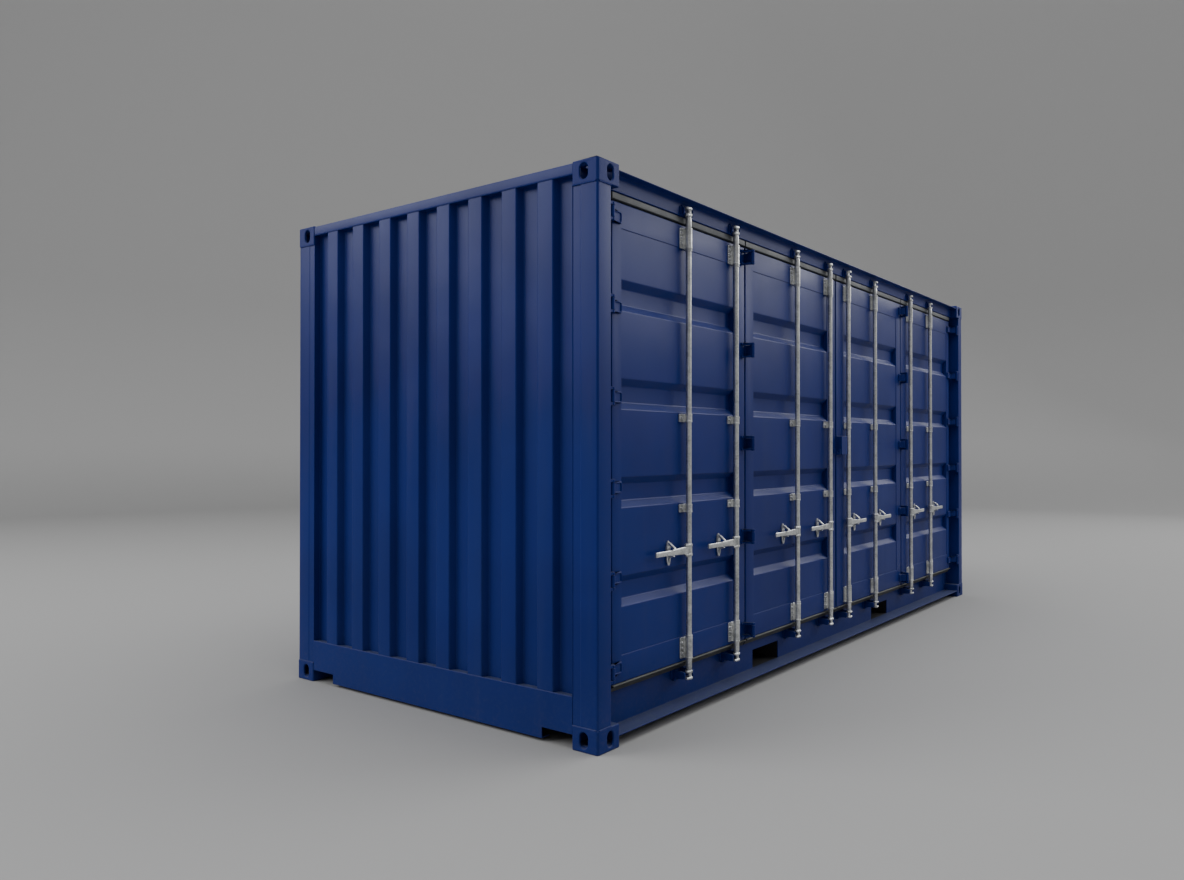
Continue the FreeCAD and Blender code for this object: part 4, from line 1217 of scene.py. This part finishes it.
@dataclass
class Hinge:
    """Knuckles of one hinge: a blade between two lugs on one pin."""

    pin_radius: float = 0.008
    pin_clear: float = 0.0004
    barrel_radius: float = 0.0128
    barrel_rim: float = 0.0015
    blade_height: float = 0.059
    lug_height: float = 0.014
    gap: float = 0.0015
    arm_thick: float = 0.010
    arm_face: float = 0.070
    lap: float = 0.050
    post_lap: float = 0.072
    arm_bends: tuple[float, ...] = (0, 0.005, 0.006, 0.003, 0, 0, 0.005, 0)
    rib: float = 0.0035
    rib_radius: float = 0.0042

    def __post_init__(self) -> None:
        """Work out the heights of the blade and of the two lugs, from the pin's middle."""
        half = self.blade_height / 2
        near = half + self.gap
        far = near + self.lug_height
        self.blade = (-half, half)
        self.lugs = ((-far, -near), (near, far))

    def barrel(self, shell: Shell, centre: Array, span: tuple[float, float]) -> None:
        """Turn a bored barrel with rounded rims between two heights about a pin."""
        r, bore, rim = self.barrel_radius, self.pin_radius + self.pin_clear, self.barrel_rim
        end = [(bore, 0), (r - rim, 0), (r, rim)]
        shell.lathe(both_ends(end, *span), centre, closed=True)

    def pin(self, shell: Shell, centre: Array) -> None:
        """Turn the pin, its ends domed and burred over the lugs."""
        r = self.pin_radius
        end = [(r * 0.5, -0.0025), (r * 1.1, -0.0012), (r * 1.1, 0), (r, 0)]
        shell.lathe(both_ends(end, self.lugs[0][0], self.lugs[1][1]), centre, segments=20)

    def arm(self, shell: Shell, centre: Array, edge: float, way: int, span: tuple[float, float],
            lap: float) -> None:
        """Carry a cranked arm from the barrel to a leaf's face.

        The plan outline leaves the barrel, falls back to the leaf's face and runs along it,
        with every corner bent.

        Args:
            shell: shell that takes the arm.
            centre: place of the pin.
            edge: X of the leaf's edge.
            way: +1 where the leaf lies on the +X side of the pin.
            span: underside and upper side, from the pin's middle.
            lap: how far the arm lies on the leaf.
        """
        pin_x, pin = centre[0], centre[1] + PLAN.side
        face = self.arm_face
        front = face - self.arm_thick
        reach = abs(edge - pin_x)
        crank = min(reach + 0.010, (front - pin) * 0.8)
        end = edge + way * lap
        outline = [(pin_x + way * 0.009, pin + 0.008),
                   (pin_x + way * (0.009 + crank * 0.45), pin + 0.008 + crank * 0.55),
                   (pin_x + way * (0.009 + crank), front), (end, front), (end, face - 0.0002),
                   (edge, face - 0.0002), (pin_x + way * min(0.016, reach), face - 0.004),
                   (pin_x - way * 0.006, pin + 0.010)]
        shell.plate(PLAN.plan(outline, np.array(self.arm_bends)), centre[2] + np.array(span),
                    Plane.LEVEL, 0.0022)

    def blade_on(self, shell: Shell, centre: Array, edge: float, lap: float) -> None:
        """Build a leaf's blade: barrel, arm, and the rim that stands round the arm's face."""
        self.barrel(shell, centre, self.blade)
        self.arm(shell, centre, edge, 1, self.blade, lap)
        y = self.arm_face - self.arm_thick - self.rib + 0.003
        start, end = edge + 0.006, edge + lap - 0.006
        low, high = self.blade
        for z in (low + 0.0045, high - 0.0045):
            path = bent([(start, y, centre[2] + z), (end, y, centre[2] + z),
                         (end, y, centre[2])], 0.012, 6) - [0, PLAN.side, 0]
            shell.tube(path, circle(self.rib_radius, 8), Y)


@dataclass
class LeafPlan:
    """Places of one leaf; sizes are kept for the left half and mirrored at the end."""

    number: int
    bands: int = 4
    band_first: float = 0.326
    band_last: float = 0.342
    band_wave: tuple[float, float, float] = (0.086, 0.036, 0.033)
    post_hinges: int = 6
    post_hinge_end: float = 0.082
    fold_hinges: int = 5
    fold_hinge_end: float = 0.065

    def __post_init__(self) -> None:
        """Read the leaf's place and set out its bands and hinges."""
        self.body = f"door_{self.number}"
        self.half = Half.LEFT if self.number < 3 else Half.RIGHT
        self.outermost = self.number in (1, 4)
        self.frame = self._left(Extent.of(self.body + "_frame"))
        self.panel = self._left(Extent.of(self.body + "_panel"))
        self.seal = self._left(Extent.of(self.body + "_seal"))
        low, high = self.frame.low[2], self.frame.high[2]
        self.post_heights = np.linspace(low + self.post_hinge_end, high - self.post_hinge_end,
                                        self.post_hinges)
        self.fold_heights = np.linspace(low + self.fold_hinge_end, high - self.fold_hinge_end,
                                        self.fold_hinges)
        self.band_heights = np.linspace(self.panel.low[2] + self.band_first,
                                        self.panel.high[2] - self.band_last, self.bands)

    def _left(self, box: Extent) -> Extent:
        """Return an extent as it lies in the left half."""
        if self.half is Half.LEFT:
            return box
        flip = np.array([-1.0, 1.0, 1.0])
        return Extent(np.minimum(box.low * flip, box.high * flip),
                      np.maximum(box.low * flip, box.high * flip))

    def publish(self, shell: Shell, name: str, coat: Coat, node: str) -> None:
        """Turn a left-half shell into this leaf's piece and tie it to the leaf's body."""
        shell.publish(f"{self.body}_{name}", coat, [f"{self.body}_{node}"], self.body, self.half)


@dataclass
class Leaf:
    """One door leaf: frame, pressed panel, seals and hinge pieces."""

    plan: LeafPlan
    finishes: Finishes
    outer_bend: float = 0.0065
    inner_bend: float = 0.0015
    band_bend: float = 0.013
    frame_bead: float = 0.0022
    seal_clear: float = 0.0004
    seal_bend: float = 0.003
    head_groove: float = 0.009
    head_rise: float = 0.0035
    hinge: Hinge = field(default_factory=Hinge)

    def build(self) -> None:
        """Build the leaf."""
        self._frame()
        self._panel()
        self._seals()
        self._hinges()

    def _frame(self) -> None:
        """Carry the frame's section round the leaf, between its outline and the panel's."""
        box, hole = self.plan.frame, self.plan.panel
        face, back = box.low[1], box.high[1]
        soft, small = self.outer_bend, self.inner_bend
        turn = np.linspace(0, math.pi / 2, 5)
        rows = [(0, soft * (1 - math.sin(a)), face + soft * (1 - math.cos(a)))
                for a in turn[::-1]]
        rows += [(1, -small * (1 - math.sin(a)), face + small * (1 - math.cos(a))) for a in turn]
        rows += [(1, 0.0, back - small), (1, -small, back), (0, soft, back),
                 (0, 0.0, back - soft)]
        shell = Shell()
        shell.hoop(box, hole, rows)
        y = hole.low[1] - 0.0002
        for z in hole.span(2):
            shell.weld((hole.low[0], y, z), (hole.high[0], y, z), self.frame_bead)
        self.plan.publish(shell, "rolled_frame", self.finishes.door, "frame")

    def _panel(self) -> None:
        """Carry the panel's upright line, pressed back at each band, across the leaf."""
        box = self.plan.panel
        line = wave(box.low[2], box.high[2], self.plan.band_heights, *self.plan.band_wave,
                    self.band_bend, 7)
        shell = Shell()
        shell.sheet(line, PLAN.sheet, box.span(0), box.low[1] * Y, (Z, Y, X))
        self.plan.publish(shell, "pressed_panel", self.finishes.door, "panel")

    def _seals(self) -> None:
        """Carry the ring, head lip and foot lip, each a soft-cornered rubber section."""
        box, leaf, front = self.plan.seal, self.plan.frame, self.plan.panel.low[1]
        back = leaf.high[1]
        thick = box.high[1] - back
        section = ring([(0.001, back), (0.023, back), (0.021, back + thick * 0.6),
                        (0.0145, back + thick), (0.0095, back + thick),
                        (0.003, back + thick * 0.6)], 0.004)
        shell = Shell()
        shell.hoop(leaf, leaf, np.insert(section, 0, 0.0, axis=1))
        top, nose = leaf.high[2], box.high[2] + self.head_rise
        groove = top + self.head_groove
        head = [(0.026, top - 0.004), (0.036, top - 0.004), (0.034, groove + 0.004),
                (0.012, nose), (-0.005, nose), (-0.007, nose - 0.003), (-0.007, groove + 0.002),
                (-0.004, groove), (0.026, groove)]
        low, foot_z = box.low[2], leaf.low[2] - 0.0005
        foot = [(-0.014, foot_z), (0.014, foot_z), (0.030, low + 0.004), (0.024, low),
                (0.014, low + 0.003), (0.0, foot_z - 0.013), (-0.014, foot_z - 0.006)]
        for lip in (head, foot):
            shell.plate(ring(np.array(lip) + [front, 0], self.seal_bend),
                        (leaf.low[0] + self.seal_clear, leaf.high[0] - self.seal_clear),
                        Plane.ACROSS)
        self.plan.publish(shell, "rubber_seal", self.finishes.rubber, "seal")

    def _hinges(self) -> None:
        """Build the blades on the leaf, and an outer leaf's lugs and pins at the fold."""
        hinge, plan, leaf = self.hinge, self.plan, self.plan.frame
        post, fold = joint_place("door_1_hinge"), joint_place("door_2_fold")
        shell = Shell()
        if plan.outermost:
            for z in plan.post_heights:
                hinge.blade_on(shell, np.append(post[:2], z), leaf.low[0], hinge.post_lap)
        for z in plan.fold_heights:
            centre = np.append(fold[:2], z)
            if plan.outermost:
                for lug in hinge.lugs:
                    hinge.barrel(shell, centre, lug)
                    hinge.arm(shell, centre, leaf.high[0], -1, lug, hinge.lap)
                hinge.pin(shell, centre)
            else:
                hinge.blade_on(shell, centre, leaf.low[0], hinge.lap)
        plan.publish(shell, "forged_hinges", self.finishes.forged, "hinges")


@dataclass
class PostHinges:
    """Lugs and pins on the door-side posts."""

    finishes: Finishes
    plan: LeafPlan
    hinge: Hinge = field(default_factory=Hinge)
    ahead: float = 0.009
    behind: float = 0.011
    root: float = 0.010
    bead: float = 0.003

    def build(self) -> None:
        """Build lugs and pins at both posts."""
        hinge = self.hinge
        place = joint_place("door_1_hinge")
        setback, y = place[1] + PLAN.side, place[1] - self.ahead
        shell = Shell()
        for z in self.plan.post_heights:
            for side in Half:
                centre = np.array([-place[0] * side.value, place[1], z])
                post = PLAN.post_x * side.value
                x0, x1 = sorted((post, -(place[0] - self.root) * side.value))
                outline = [(x0, setback - self.ahead), (x1, setback - self.ahead),
                           (x1, setback + self.behind), (x0, setback + self.behind)]
                for lug in hinge.lugs:
                    hinge.barrel(shell, centre, lug)
                    shell.plate(PLAN.plan(outline, 0.002), z + np.array(lug), Plane.LEVEL,
                                0.0012)
                hinge.pin(shell, centre)
                for end in (hinge.lugs[0][0], hinge.lugs[1][1]):
                    shell.weld((post, y, z + end), (post, y + self.ahead + self.behind, z + end),
                               self.bead)
        shell.publish("post_hinge_lugs", self.finishes.cast, ["post_hinges"])


# ------------------------------------------------------------------ lock rods and fittings

@dataclass
class LockGear:
    """Sizes that the rods share with their sleeves, guides, catches and keepers."""

    plan: LeafPlan
    rod: float = 0.016
    shank: float = 0.0172
    cam_hub: float = 0.0135
    cam_reach: float = 0.034
    cam_height: float = 0.052
    cam_flange: float = 0.0205
    cam_rim: float = 0.0155
    collar: float = 0.012
    collar_radius: float = 0.0205
    sleeve: float = 0.0215
    sleeve_height: float = 0.116
    sleeve_end: float = 0.020
    guide: float = 0.0205
    guide_height: float = 0.046
    guide_drop: float = 0.031
    handle_length: float = 0.340
    handle_rise: float = 0.162
    catch_offset: float = 0.172
    run_clear: float = 0.0005
    from_outer: float = 0.685
    from_inner: float = 0.162

    def __post_init__(self) -> None:
        """Work out the heights from the leaf and the rod."""
        leaf, rod = self.plan.frame, Extent.of("lock_rod_1")
        low, high = leaf.low[2] + self.sleeve_end, leaf.high[2] - self.sleeve_end
        self.sleeves = ((low, low + self.sleeve_height), (high - self.sleeve_height, high))
        floor, slope, _ = self.plan.band_wave
        middle = self.plan.band_heights[1:3] - (floor / 2 + slope) - self.guide_drop
        self.guides = [(z - self.guide_height / 2, z + self.guide_height / 2) for z in middle]
        self.handle_z = self.plan.band_heights[0] + self.handle_rise
        self.setback = float(joint_place("rod_1_turn")[1]) + PLAN.side
        self.face = leaf.low[1] + PLAN.side
        self.low_cam, self.high_cam = rod.low[2], rod.high[2] - self.cam_height


@dataclass
class LockRod:
    """One lock rod with its cams, collars and handle. It is built with its handle at -X."""

    number: int
    finishes: Finishes
    gear: LockGear

    def build(self) -> None:
        """Build the rod and tie it to its own body."""
        gear = self.gear
        half = Half.LEFT if self.number < 5 else Half.RIGHT
        place = joint_place(f"rod_{self.number}_turn")
        x, y = place[0] * (-half.value), float(place[1])
        shell = Shell()
        self._tube(shell, x, y)
        for z in (gear.low_cam, gear.high_cam):
            self._cam(shell, x, y, z)
        self._bracket(shell, x, y)
        self._bar(shell, x, y)
        node = f"lock_rod_{self.number}"
        shell.publish(node + "_forged", self.finishes.zinc, [node], f"rod_{self.number}", half)

    def _tube(self, shell: Shell, x: float, y: float) -> None:
        """Turn the tube, its swaged shanks and its collars from one profile.

        The profile climbs from the lower cam to the upper one; each change of radius is a
        short cone or a groove.
        """
        gear = self.gear
        (s0, s1), (t0, t1) = gear.sleeves
        low, high = gear.low_cam + gear.cam_height, gear.high_cam
        r, shank, hub = gear.rod, gear.shank, gear.cam_hub
        c, rim = gear.collar, gear.collar_radius
        rows = [(hub, low - 0.004), (hub + 0.001, low), (shank - 0.002, low + 0.004),
                (shank, low + 0.010), (shank, s0 - 0.006), (shank - 0.001, s0 - 0.0025),
                (r, s0 - 0.002)]
        collar = [(r, 0), (rim - 0.001, 0), (rim, 0.001), (rim, c * 0.36), (rim - 0.003, c * 0.42)]
        for foot in (s1 + 0.002, t0 - 0.002 - c):
            rows.extend(both_ends(collar, foot, foot + c))
        rows += [(r, t1 + 0.002), (shank - 0.001, t1 + 0.0025), (shank, t1 + 0.006),
                 (shank, high - 0.012), (shank - 0.002, high - 0.006), (hub + 0.001, high - 0.002),
                 (hub, high + 0.003)]
        shell.lathe(rows, (x, y, 0), segments=28)

    def _cam(self, shell: Shell, x: float, y: float, z: float) -> None:
        """Build a forged cam: two round flanges, a thinner neck, and a hooked jaw on each.

        The neck stands a little behind the axis, so that the cam is open like a claw; a jaw's
        plan is a bent hook.
        """
        gear = self.gear
        h, hub, reach, flange = gear.cam_height, gear.cam_hub, gear.cam_reach, gear.cam_flange
        rim = gear.cam_rim
        for low, high in ((0.0, rim), (h - rim, h)):
            disc = both_ends([(flange * 0.84, 0), (flange, 0.003)], low, high)
            shell.lathe(disc, (x, y, z), segments=28)
        neck = both_ends([(hub * 1.15, rim * 0.7), (hub * 0.85, rim + 0.004)], 0, h)
        shell.lathe(neck, (x + 0.0065, y, z), segments=20)
        jaw = [(0.008, -flange * 0.92), (-reach * 0.5, -0.0185), (-reach * 0.9, -0.0160),
               (-reach, -0.0060), (-reach * 0.93, 0.0080), (-reach * 0.5, 0.0090),
               (-hub * 0.5, flange * 0.9), (0.006, flange * 0.8)]
        outline = ring(np.array(jaw) + [x, y], 0.008, 6)
        for low, high in ((0.001, rim - 0.001), (h - rim + 0.001, h - 0.001)):
            shell.plate(outline, (z + low, z + high), Plane.LEVEL, 0.0035)

    def _bracket(self, shell: Shell, x: float, y: float) -> None:
        """Build the handle's hub, its two ears and the bolt through them."""
        z, r = self.gear.handle_z, self.gear.rod + 0.005
        hub = [(r - 0.003, 0), (r, 0.003), (r, 0.013), (r - 0.002, 0.015)]
        shell.lathe(both_ends(hub, -0.035, 0.035), (x, y, z), segments=28)
        ear = ring(np.array([(0.004, -0.0205), (-0.046, -0.0165), (-0.046, 0.0045),
                             (0.004, 0.0145)]) + [x, y], 0.009, 5)
        for side in (-1, 1):
            shell.plate(ear, sorted((z + side * 0.0225, z + side * 0.0315)), Plane.LEVEL, 0.0015)
        pin = [(0.0065, 0), (0.0075, 0.0015), (0.0055, 0.0025)]
        shell.lathe(both_ends(pin, -0.036, 0.036), (x - 0.034, y - 0.006, z), segments=14)

    def _bar(self, shell: Shell, x: float, y: float) -> None:
        """Build the bar, a superellipse carried along a straight line.

        Its height falls evenly from the hub to the catch, stays even, and its tip is broken
        all round. A point of the section is (sign(cos t) |cos t|^p, sign(sin t) |sin t|^p).
        """
        start, sides, power = 0.018, 16, 0.55
        share = np.concatenate([np.linspace(0.0, 0.96, 14), [0.985, 0.994, 1.0]])
        along = start + share * (self.gear.handle_length - start)
        taper = 1.0 + 0.55 * np.clip((0.205 - along) / 0.165, 0.0, 1.0)
        tip = np.interp(share, [0.0, 0.985, 0.994, 1.0], [1.0, 1.0, 0.93, 0.72])
        turn = circle(1.0, sides)
        round_a, round_b = (np.sign(turn) * np.abs(turn) ** power).T
        grid = np.stack([np.broadcast_to((x - along)[:, None], (len(along), sides)),
                         y - 0.005 + (0.0056 * tip)[:, None] * round_a,
                         self.gear.handle_z + (0.0140 * taper * tip)[:, None] * round_b], -1)
        shell.grid(grid, wrap_v=True, caps=True)


@dataclass
class LeafFittings:
    """Sleeves, guides and handle catches of one leaf, bolted on its face."""

    plan: LeafPlan
    finishes: Finishes
    gear: LockGear
    plate: float = 0.006
    bolt_across: float = 0.015
    bolt_margin: float = 0.014
    sleeve_base: tuple[float, float] = (-0.052, 0.034)
    guide_base: tuple[float, float] = (-0.058, 0.022)
    bar_gap: float = 0.0175
    oval: tuple[float, float] = (0.064, 0.0185)

    def build(self) -> None:
        """Build the fittings at both rods of the leaf."""
        gear, leaf = self.gear, self.plan.frame
        shell = Shell()
        for x in (leaf.low[0] + gear.from_outer, leaf.high[0] - gear.from_inner):
            for pair in gear.sleeves:
                self._saddle(shell, x, pair, gear.sleeve, self.sleeve_base, 3, gear.face)
            outwards, inwards = self.guide_base
            reach = min(x + inwards, self.plan.panel.high[0]) - x
            for pair in gear.guides:
                self._saddle(shell, x, pair, gear.guide, (outwards, reach), 1, gear.face + 0.003)
            self._catch(shell, x - gear.catch_offset)
        self.plan.publish(shell, "zinc_fittings", self.finishes.zinc, "fittings")

    def _saddle(self, shell: Shell, x: float, pair: tuple[float, float], radius: float,
                span: tuple[float, float], bolts: int, face: float) -> None:
        """Build a bored eye with beaded rims, its neck, and a round-cornered base plate.

        Args:
            shell: shell that takes the pieces.
            x: X of the rod.
            pair: lowest and highest Z.
            radius: outer radius of the eye.
            span: base plate's ends, outwards and inwards of the rod.
            bolts: bolts in the outer part of the plate.
            face: setback that the plate lies on.
        """
        gear = self.gear
        low, high = pair
        front = gear.face - self.plate
        bore = gear.rod + gear.run_clear
        rim = min(0.007, (high - low) / 5)
        end = [(bore, 0), (radius - 0.001, 0), (radius, 0.001), (radius, rim),
               (radius - 0.0012, rim + 0.0015)]
        shell.lathe(both_ends(end, low, high), (x, gear.setback - PLAN.side, 0), segments=28,
                    closed=True)
        outline = rectangle((x + span[0], low), (x + span[1], high), 0.009, 5)
        shell.plate(outline, PLAN.depth(face, front), Plane.ALONG, 0.0015)
        root = gear.setback + bore * 0.75
        neck = [(x - 0.013, root), (x + 0.013, root), (x + 0.018, front + 0.001),
                (x - 0.018, front + 0.001)]
        shell.plate(PLAN.plan(neck), (low + 0.002, high - 0.002), Plane.LEVEL, 0.0006)
        for z in np.linspace(low, high, bolts + 2)[1:-1]:
            centre = (x + span[0] + self.bolt_margin, front - PLAN.side, z)
            bolt(shell, centre, -Y, self.bolt_across)

    @staticmethod
    def _oval(rise: Array, wide: float, tall: float) -> Array:
        """Return part of a pointed oval: half-width w (1 - h^2)^0.6 at the share h of its height."""
        right = np.stack([wide * (1 - rise ** 2) ** 0.6, rise * tall], 1)
        return np.vstack([right, (right * [-1, 1])[::-1]])

    def _catch(self, shell: Shell, x: float) -> None:
        """Build a catch: a pointed oval on the leaf behind the bar, and two arms that hold it.

        The oval's upper part is solid and its lower part is a hanging loop. The upper arm,
        the latch, leans out from the oval to just above the bar; the lower arm is a short
        shelf.
        """
        gear, gap = self.gear, self.bar_gap
        z, front = gear.handle_z, gear.face - self.plate
        tall, wide = self.oval
        upper = self._oval(np.linspace(-0.34, 0.985, 13), wide, tall) + [x, z]
        shell.plate(upper, PLAN.depth(gear.face + 0.003, front - 0.003), Plane.ALONG, 0.002)
        loop = self._oval(np.linspace(0.25, 0.985, 10), 0.86 * wide, tall * 1.1)
        line = np.stack([x + loop[:, 0], np.full(len(loop), front - PLAN.side), z - loop[:, 1]], 1)
        shell.tube(line, circle(0.0050, 10), Y)
        latch = [(front, z + 0.054), (front - 0.012, z + 0.053), (0.0205, z + 0.027),
                 (0.0165, z + gap), (0.0290, z + gap), (0.0320, z + 0.024),
                 (front - 0.010, z + 0.037), (front, z + 0.036)]
        shelf = [(front, z - gap - 0.018), (0.036, z - gap - 0.007), (0.0250, z - gap - 0.005),
                 (0.0250, z - gap), (front, z - gap)]
        for outline, half, bend in ((latch, 0.0080, 0.005), (shelf, 0.0065, 0.002)):
            shell.plate(PLAN.upright(outline, bend), (x - half, x + half), Plane.ACROSS, 0.0015)


@dataclass
class Keepers:
    """Forged keepers of the cams, on the header and on the sill's web."""

    finishes: Finishes
    gear: LockGear
    lug: float = 0.010
    clear: float = 0.006
    tip: float = 0.036
    root: float = 0.028
    strap: float = 0.005
    foot_width: float = 0.012
    bead: float = 0.002

    def build(self) -> None:
        """Build a keeper above and below each rod."""
        gear = self.gear
        top = gear.high_cam + gear.cam_height + self.strap
        low = gear.low_cam - self.clear - self.strap
        shell = Shell()
        for number in range(1, 9):
            x = float(joint_place(f"rod_{number}_turn")[0])
            self._keeper(shell, x, gear.high_cam, top, PLAN.header_face)
            self._keeper(shell, x, gear.low_cam, low, PLAN.web_y + PLAN.side - PLAN.plate)
        shell.publish("cam_keepers", self.finishes.cast, ["rod_keepers"])

    def _keeper(self, shell: Shell, x: float, z: float, strap: float, back: float) -> None:
        """Build two cheeks with narrow noses, their feet, and the strap that joins them."""
        inner = self.gear.cam_reach + self.clear
        outer = inner + self.lug
        h, tip = self.gear.cam_height, self.tip
        z0, z1 = min(z, strap), max(z + h, strap + self.strap)
        root = max(tip + 0.010, back - self.root)
        cheek = [(tip, z + h * 0.20), (tip + 0.012, z + h * 0.10), (root, z + h * 0.10),
                 (root + 0.006, z0), (back, z0), (back, z1), (root + 0.006, z1),
                 (root, z + h * 0.90), (tip + 0.012, z + h * 0.90), (tip, z + h * 0.80)]
        outline = PLAN.upright(cheek, 0.010)
        y = back - PLAN.side - 0.001
        for side in (-1, 1):
            shell.plate(outline, sorted((x + side * inner, x + side * outer)), Plane.ACROSS,
                        0.0018)
            edge = x + side * (outer + self.foot_width)
            low, high = sorted((x + side * (outer - 0.002), edge))
            shell.plate(rectangle((low, z), (high, z + h), 0.003),
                        PLAN.depth(back, back - 0.006), Plane.ALONG, 0.0012)
            for end in (z + 0.004, z + h - 0.004):
                shell.weld((edge, y, end), (edge - side * self.foot_width, y, end), self.bead)
        plan = [(x - outer, root + 0.008), (x + outer, root + 0.008), (x + outer, back),
                (x - outer, back)]
        shell.plate(PLAN.plan(plan, 0.003), (strap, strap + self.strap), Plane.LEVEL, 0.0012)


@dataclass
class Padlock:
    """Padlock box on the third leaf and the eye on the second."""

    finishes: Finishes
    bead: float = 0.0028

    def build(self) -> None:
        """Round the edges of both and lay their weld beads."""
        door = self.finishes.door
        pair = (("door_3_lock_box", "door_3"), ("door_2_lock_eye", "door_2"))
        for (node, body), width, segments in zip(pair, (0.003, 0.0015), (3, 2)):
            eased_copy(node, body, door, width, segments)
        for node, body in pair:
            box = Extent.of(node)
            y = box.high[1] - 0.001
            x0, x1, z0, z1 = box.low[0], box.high[0], box.low[2], box.high[2]
            shell = Shell()
            for start, end in (((x0, z0), (x0, z1)), ((x1, z0), (x1, z1)), ((x0, z1), (x1, z1))):
                shell.weld((start[0], y, start[1]), (end[0], y, end[1]), self.bead)
            shell.publish(node + "_weld_beads", door, body=body)


# ------------------------------------------------------------------ studio

@dataclass
class Studio:
    """Round backdrop, soft lights and the camera.

    A lamp is its name, place, target, size and power.
    """

    finishes: Finishes
    radius: float = 17.0
    cove: float = 6.0
    wall: float = 19.0
    steps: int = 96
    air: float = 0.82
    lamps: tuple[tuple[Any, ...], ...] = (
        ("overhead", (-1.0, -1.5, 11.0), (0, 0, 0), (9, 9), 620),
        ("leaf_side", (13.5, -9.0, 8.6), (0, -1.2, 1.8), (14, 6), 1250),
        ("end_side", (-13.5, 10.5, 8.6), (-3, 0, 1.8), (12, 6), 1500))
    eye: tuple[float, float, float] = (-6.488, -3.866, 1.487)
    heading: float = 37.8
    climb: float = 0.45
    lens: float = 27.51
    sensor: float = 36.0
    view_depth: float = 200.0

    def build(self) -> None:
        """Build the backdrop, the lights and the camera."""
        self._backdrop()
        self._air()
        for lamp in self.lamps:
            self._lamp(*lamp)
        self._camera()

    def _backdrop(self) -> None:
        """Turn a floor, a quarter-round cove and a wall about the middle."""
        turn = np.linspace(0, math.pi / 2, 16)
        flat = [(0.02, 0.0), (4.0, 0.0), (9.0, 0.0), (self.radius, 0.0)]
        curve = [(self.radius + self.cove * math.sin(a), self.cove * (1 - math.cos(a)))
                 for a in turn[1:]]
        rows = np.array(flat + curve + [(self.radius + self.cove, self.wall)])
        shell = Shell()
        heights = np.broadcast_to(rows[:, None, 1:], (len(rows), self.steps, 1))
        shell.grid(np.concatenate([rows[:, None, :1] * circle(1.0, self.steps), heights], -1),
                   wrap_v=True)
        shell.faces.append(list(range(self.steps)))
        backdrop = shell.object("studio_backdrop", sharp=80.0)
        backdrop.data.materials.append(self.finishes.paper)

    @staticmethod
    def _lamp(name: str, place: Sequence[float], target: Sequence[float],
              size: tuple[float, float], watts: float) -> None:
        """Hang one rectangular soft light that faces a target."""
        lamp = bpy.data.lights.new(name, "AREA")
        lamp.shape = "RECTANGLE"
        lamp.size, lamp.size_y = size
        lamp.energy = watts
        made = bpy.data.objects.new(name, lamp)
        bpy.context.scene.collection.objects.link(made)
        made.location = place
        made.visible_camera = False
        way = Vector(target) - Vector(place)
        made.rotation_euler = way.to_track_quat("-Z", "Y").to_euler()

    def _air(self) -> None:
        """Fill the room with an even white light."""
        world = bpy.data.worlds.new("studio_air")
        bpy.context.scene.world = world
        world.use_nodes = True
        back = world.node_tree.nodes["Background"]
        back.inputs[0].default_value = (1.0, 1.0, 1.0, 1.0)
        back.inputs[1].default_value = self.air

    def _camera(self) -> None:
        """Stand the camera at eye height by the near corner."""
        lens = bpy.data.cameras.new("camera")
        lens.lens = self.lens
        lens.sensor_width = self.sensor
        lens.clip_end = self.view_depth
        camera = bpy.data.objects.new("camera", lens)
        bpy.context.scene.collection.objects.link(camera)
        camera.location = self.eye
        camera.rotation_euler = (math.radians(90 + self.climb), 0.0,
                                 math.radians(self.heading - 90))
        bpy.context.scene.camera = camera


# ------------------------------------------------------------------ whole container


def main() -> None:
    """Build the container piece by piece, then the studio."""
    logging.basicConfig(level=logging.INFO, format="%(name)s: %(message)s")
    finishes = Finishes()
    Corners(finishes).build()
    Rails(finishes).build()
    FoldedSheets(finishes).build()
    Floor(finishes).build()
    plans = [LeafPlan(number) for number in range(1, 5)]
    gear = LockGear(plans[0])
    for plan in plans:
        Leaf(plan, finishes).build()
        LeafFittings(plan, finishes, gear).build()
    PostHinges(finishes, plans[0]).build()
    for number in range(1, 9):
        LockRod(number, finishes, gear).build()
    Keepers(finishes, gear).build()
    Padlock(finishes).build()
    Studio(finishes).build()


if __name__ == "__main__":
    main()
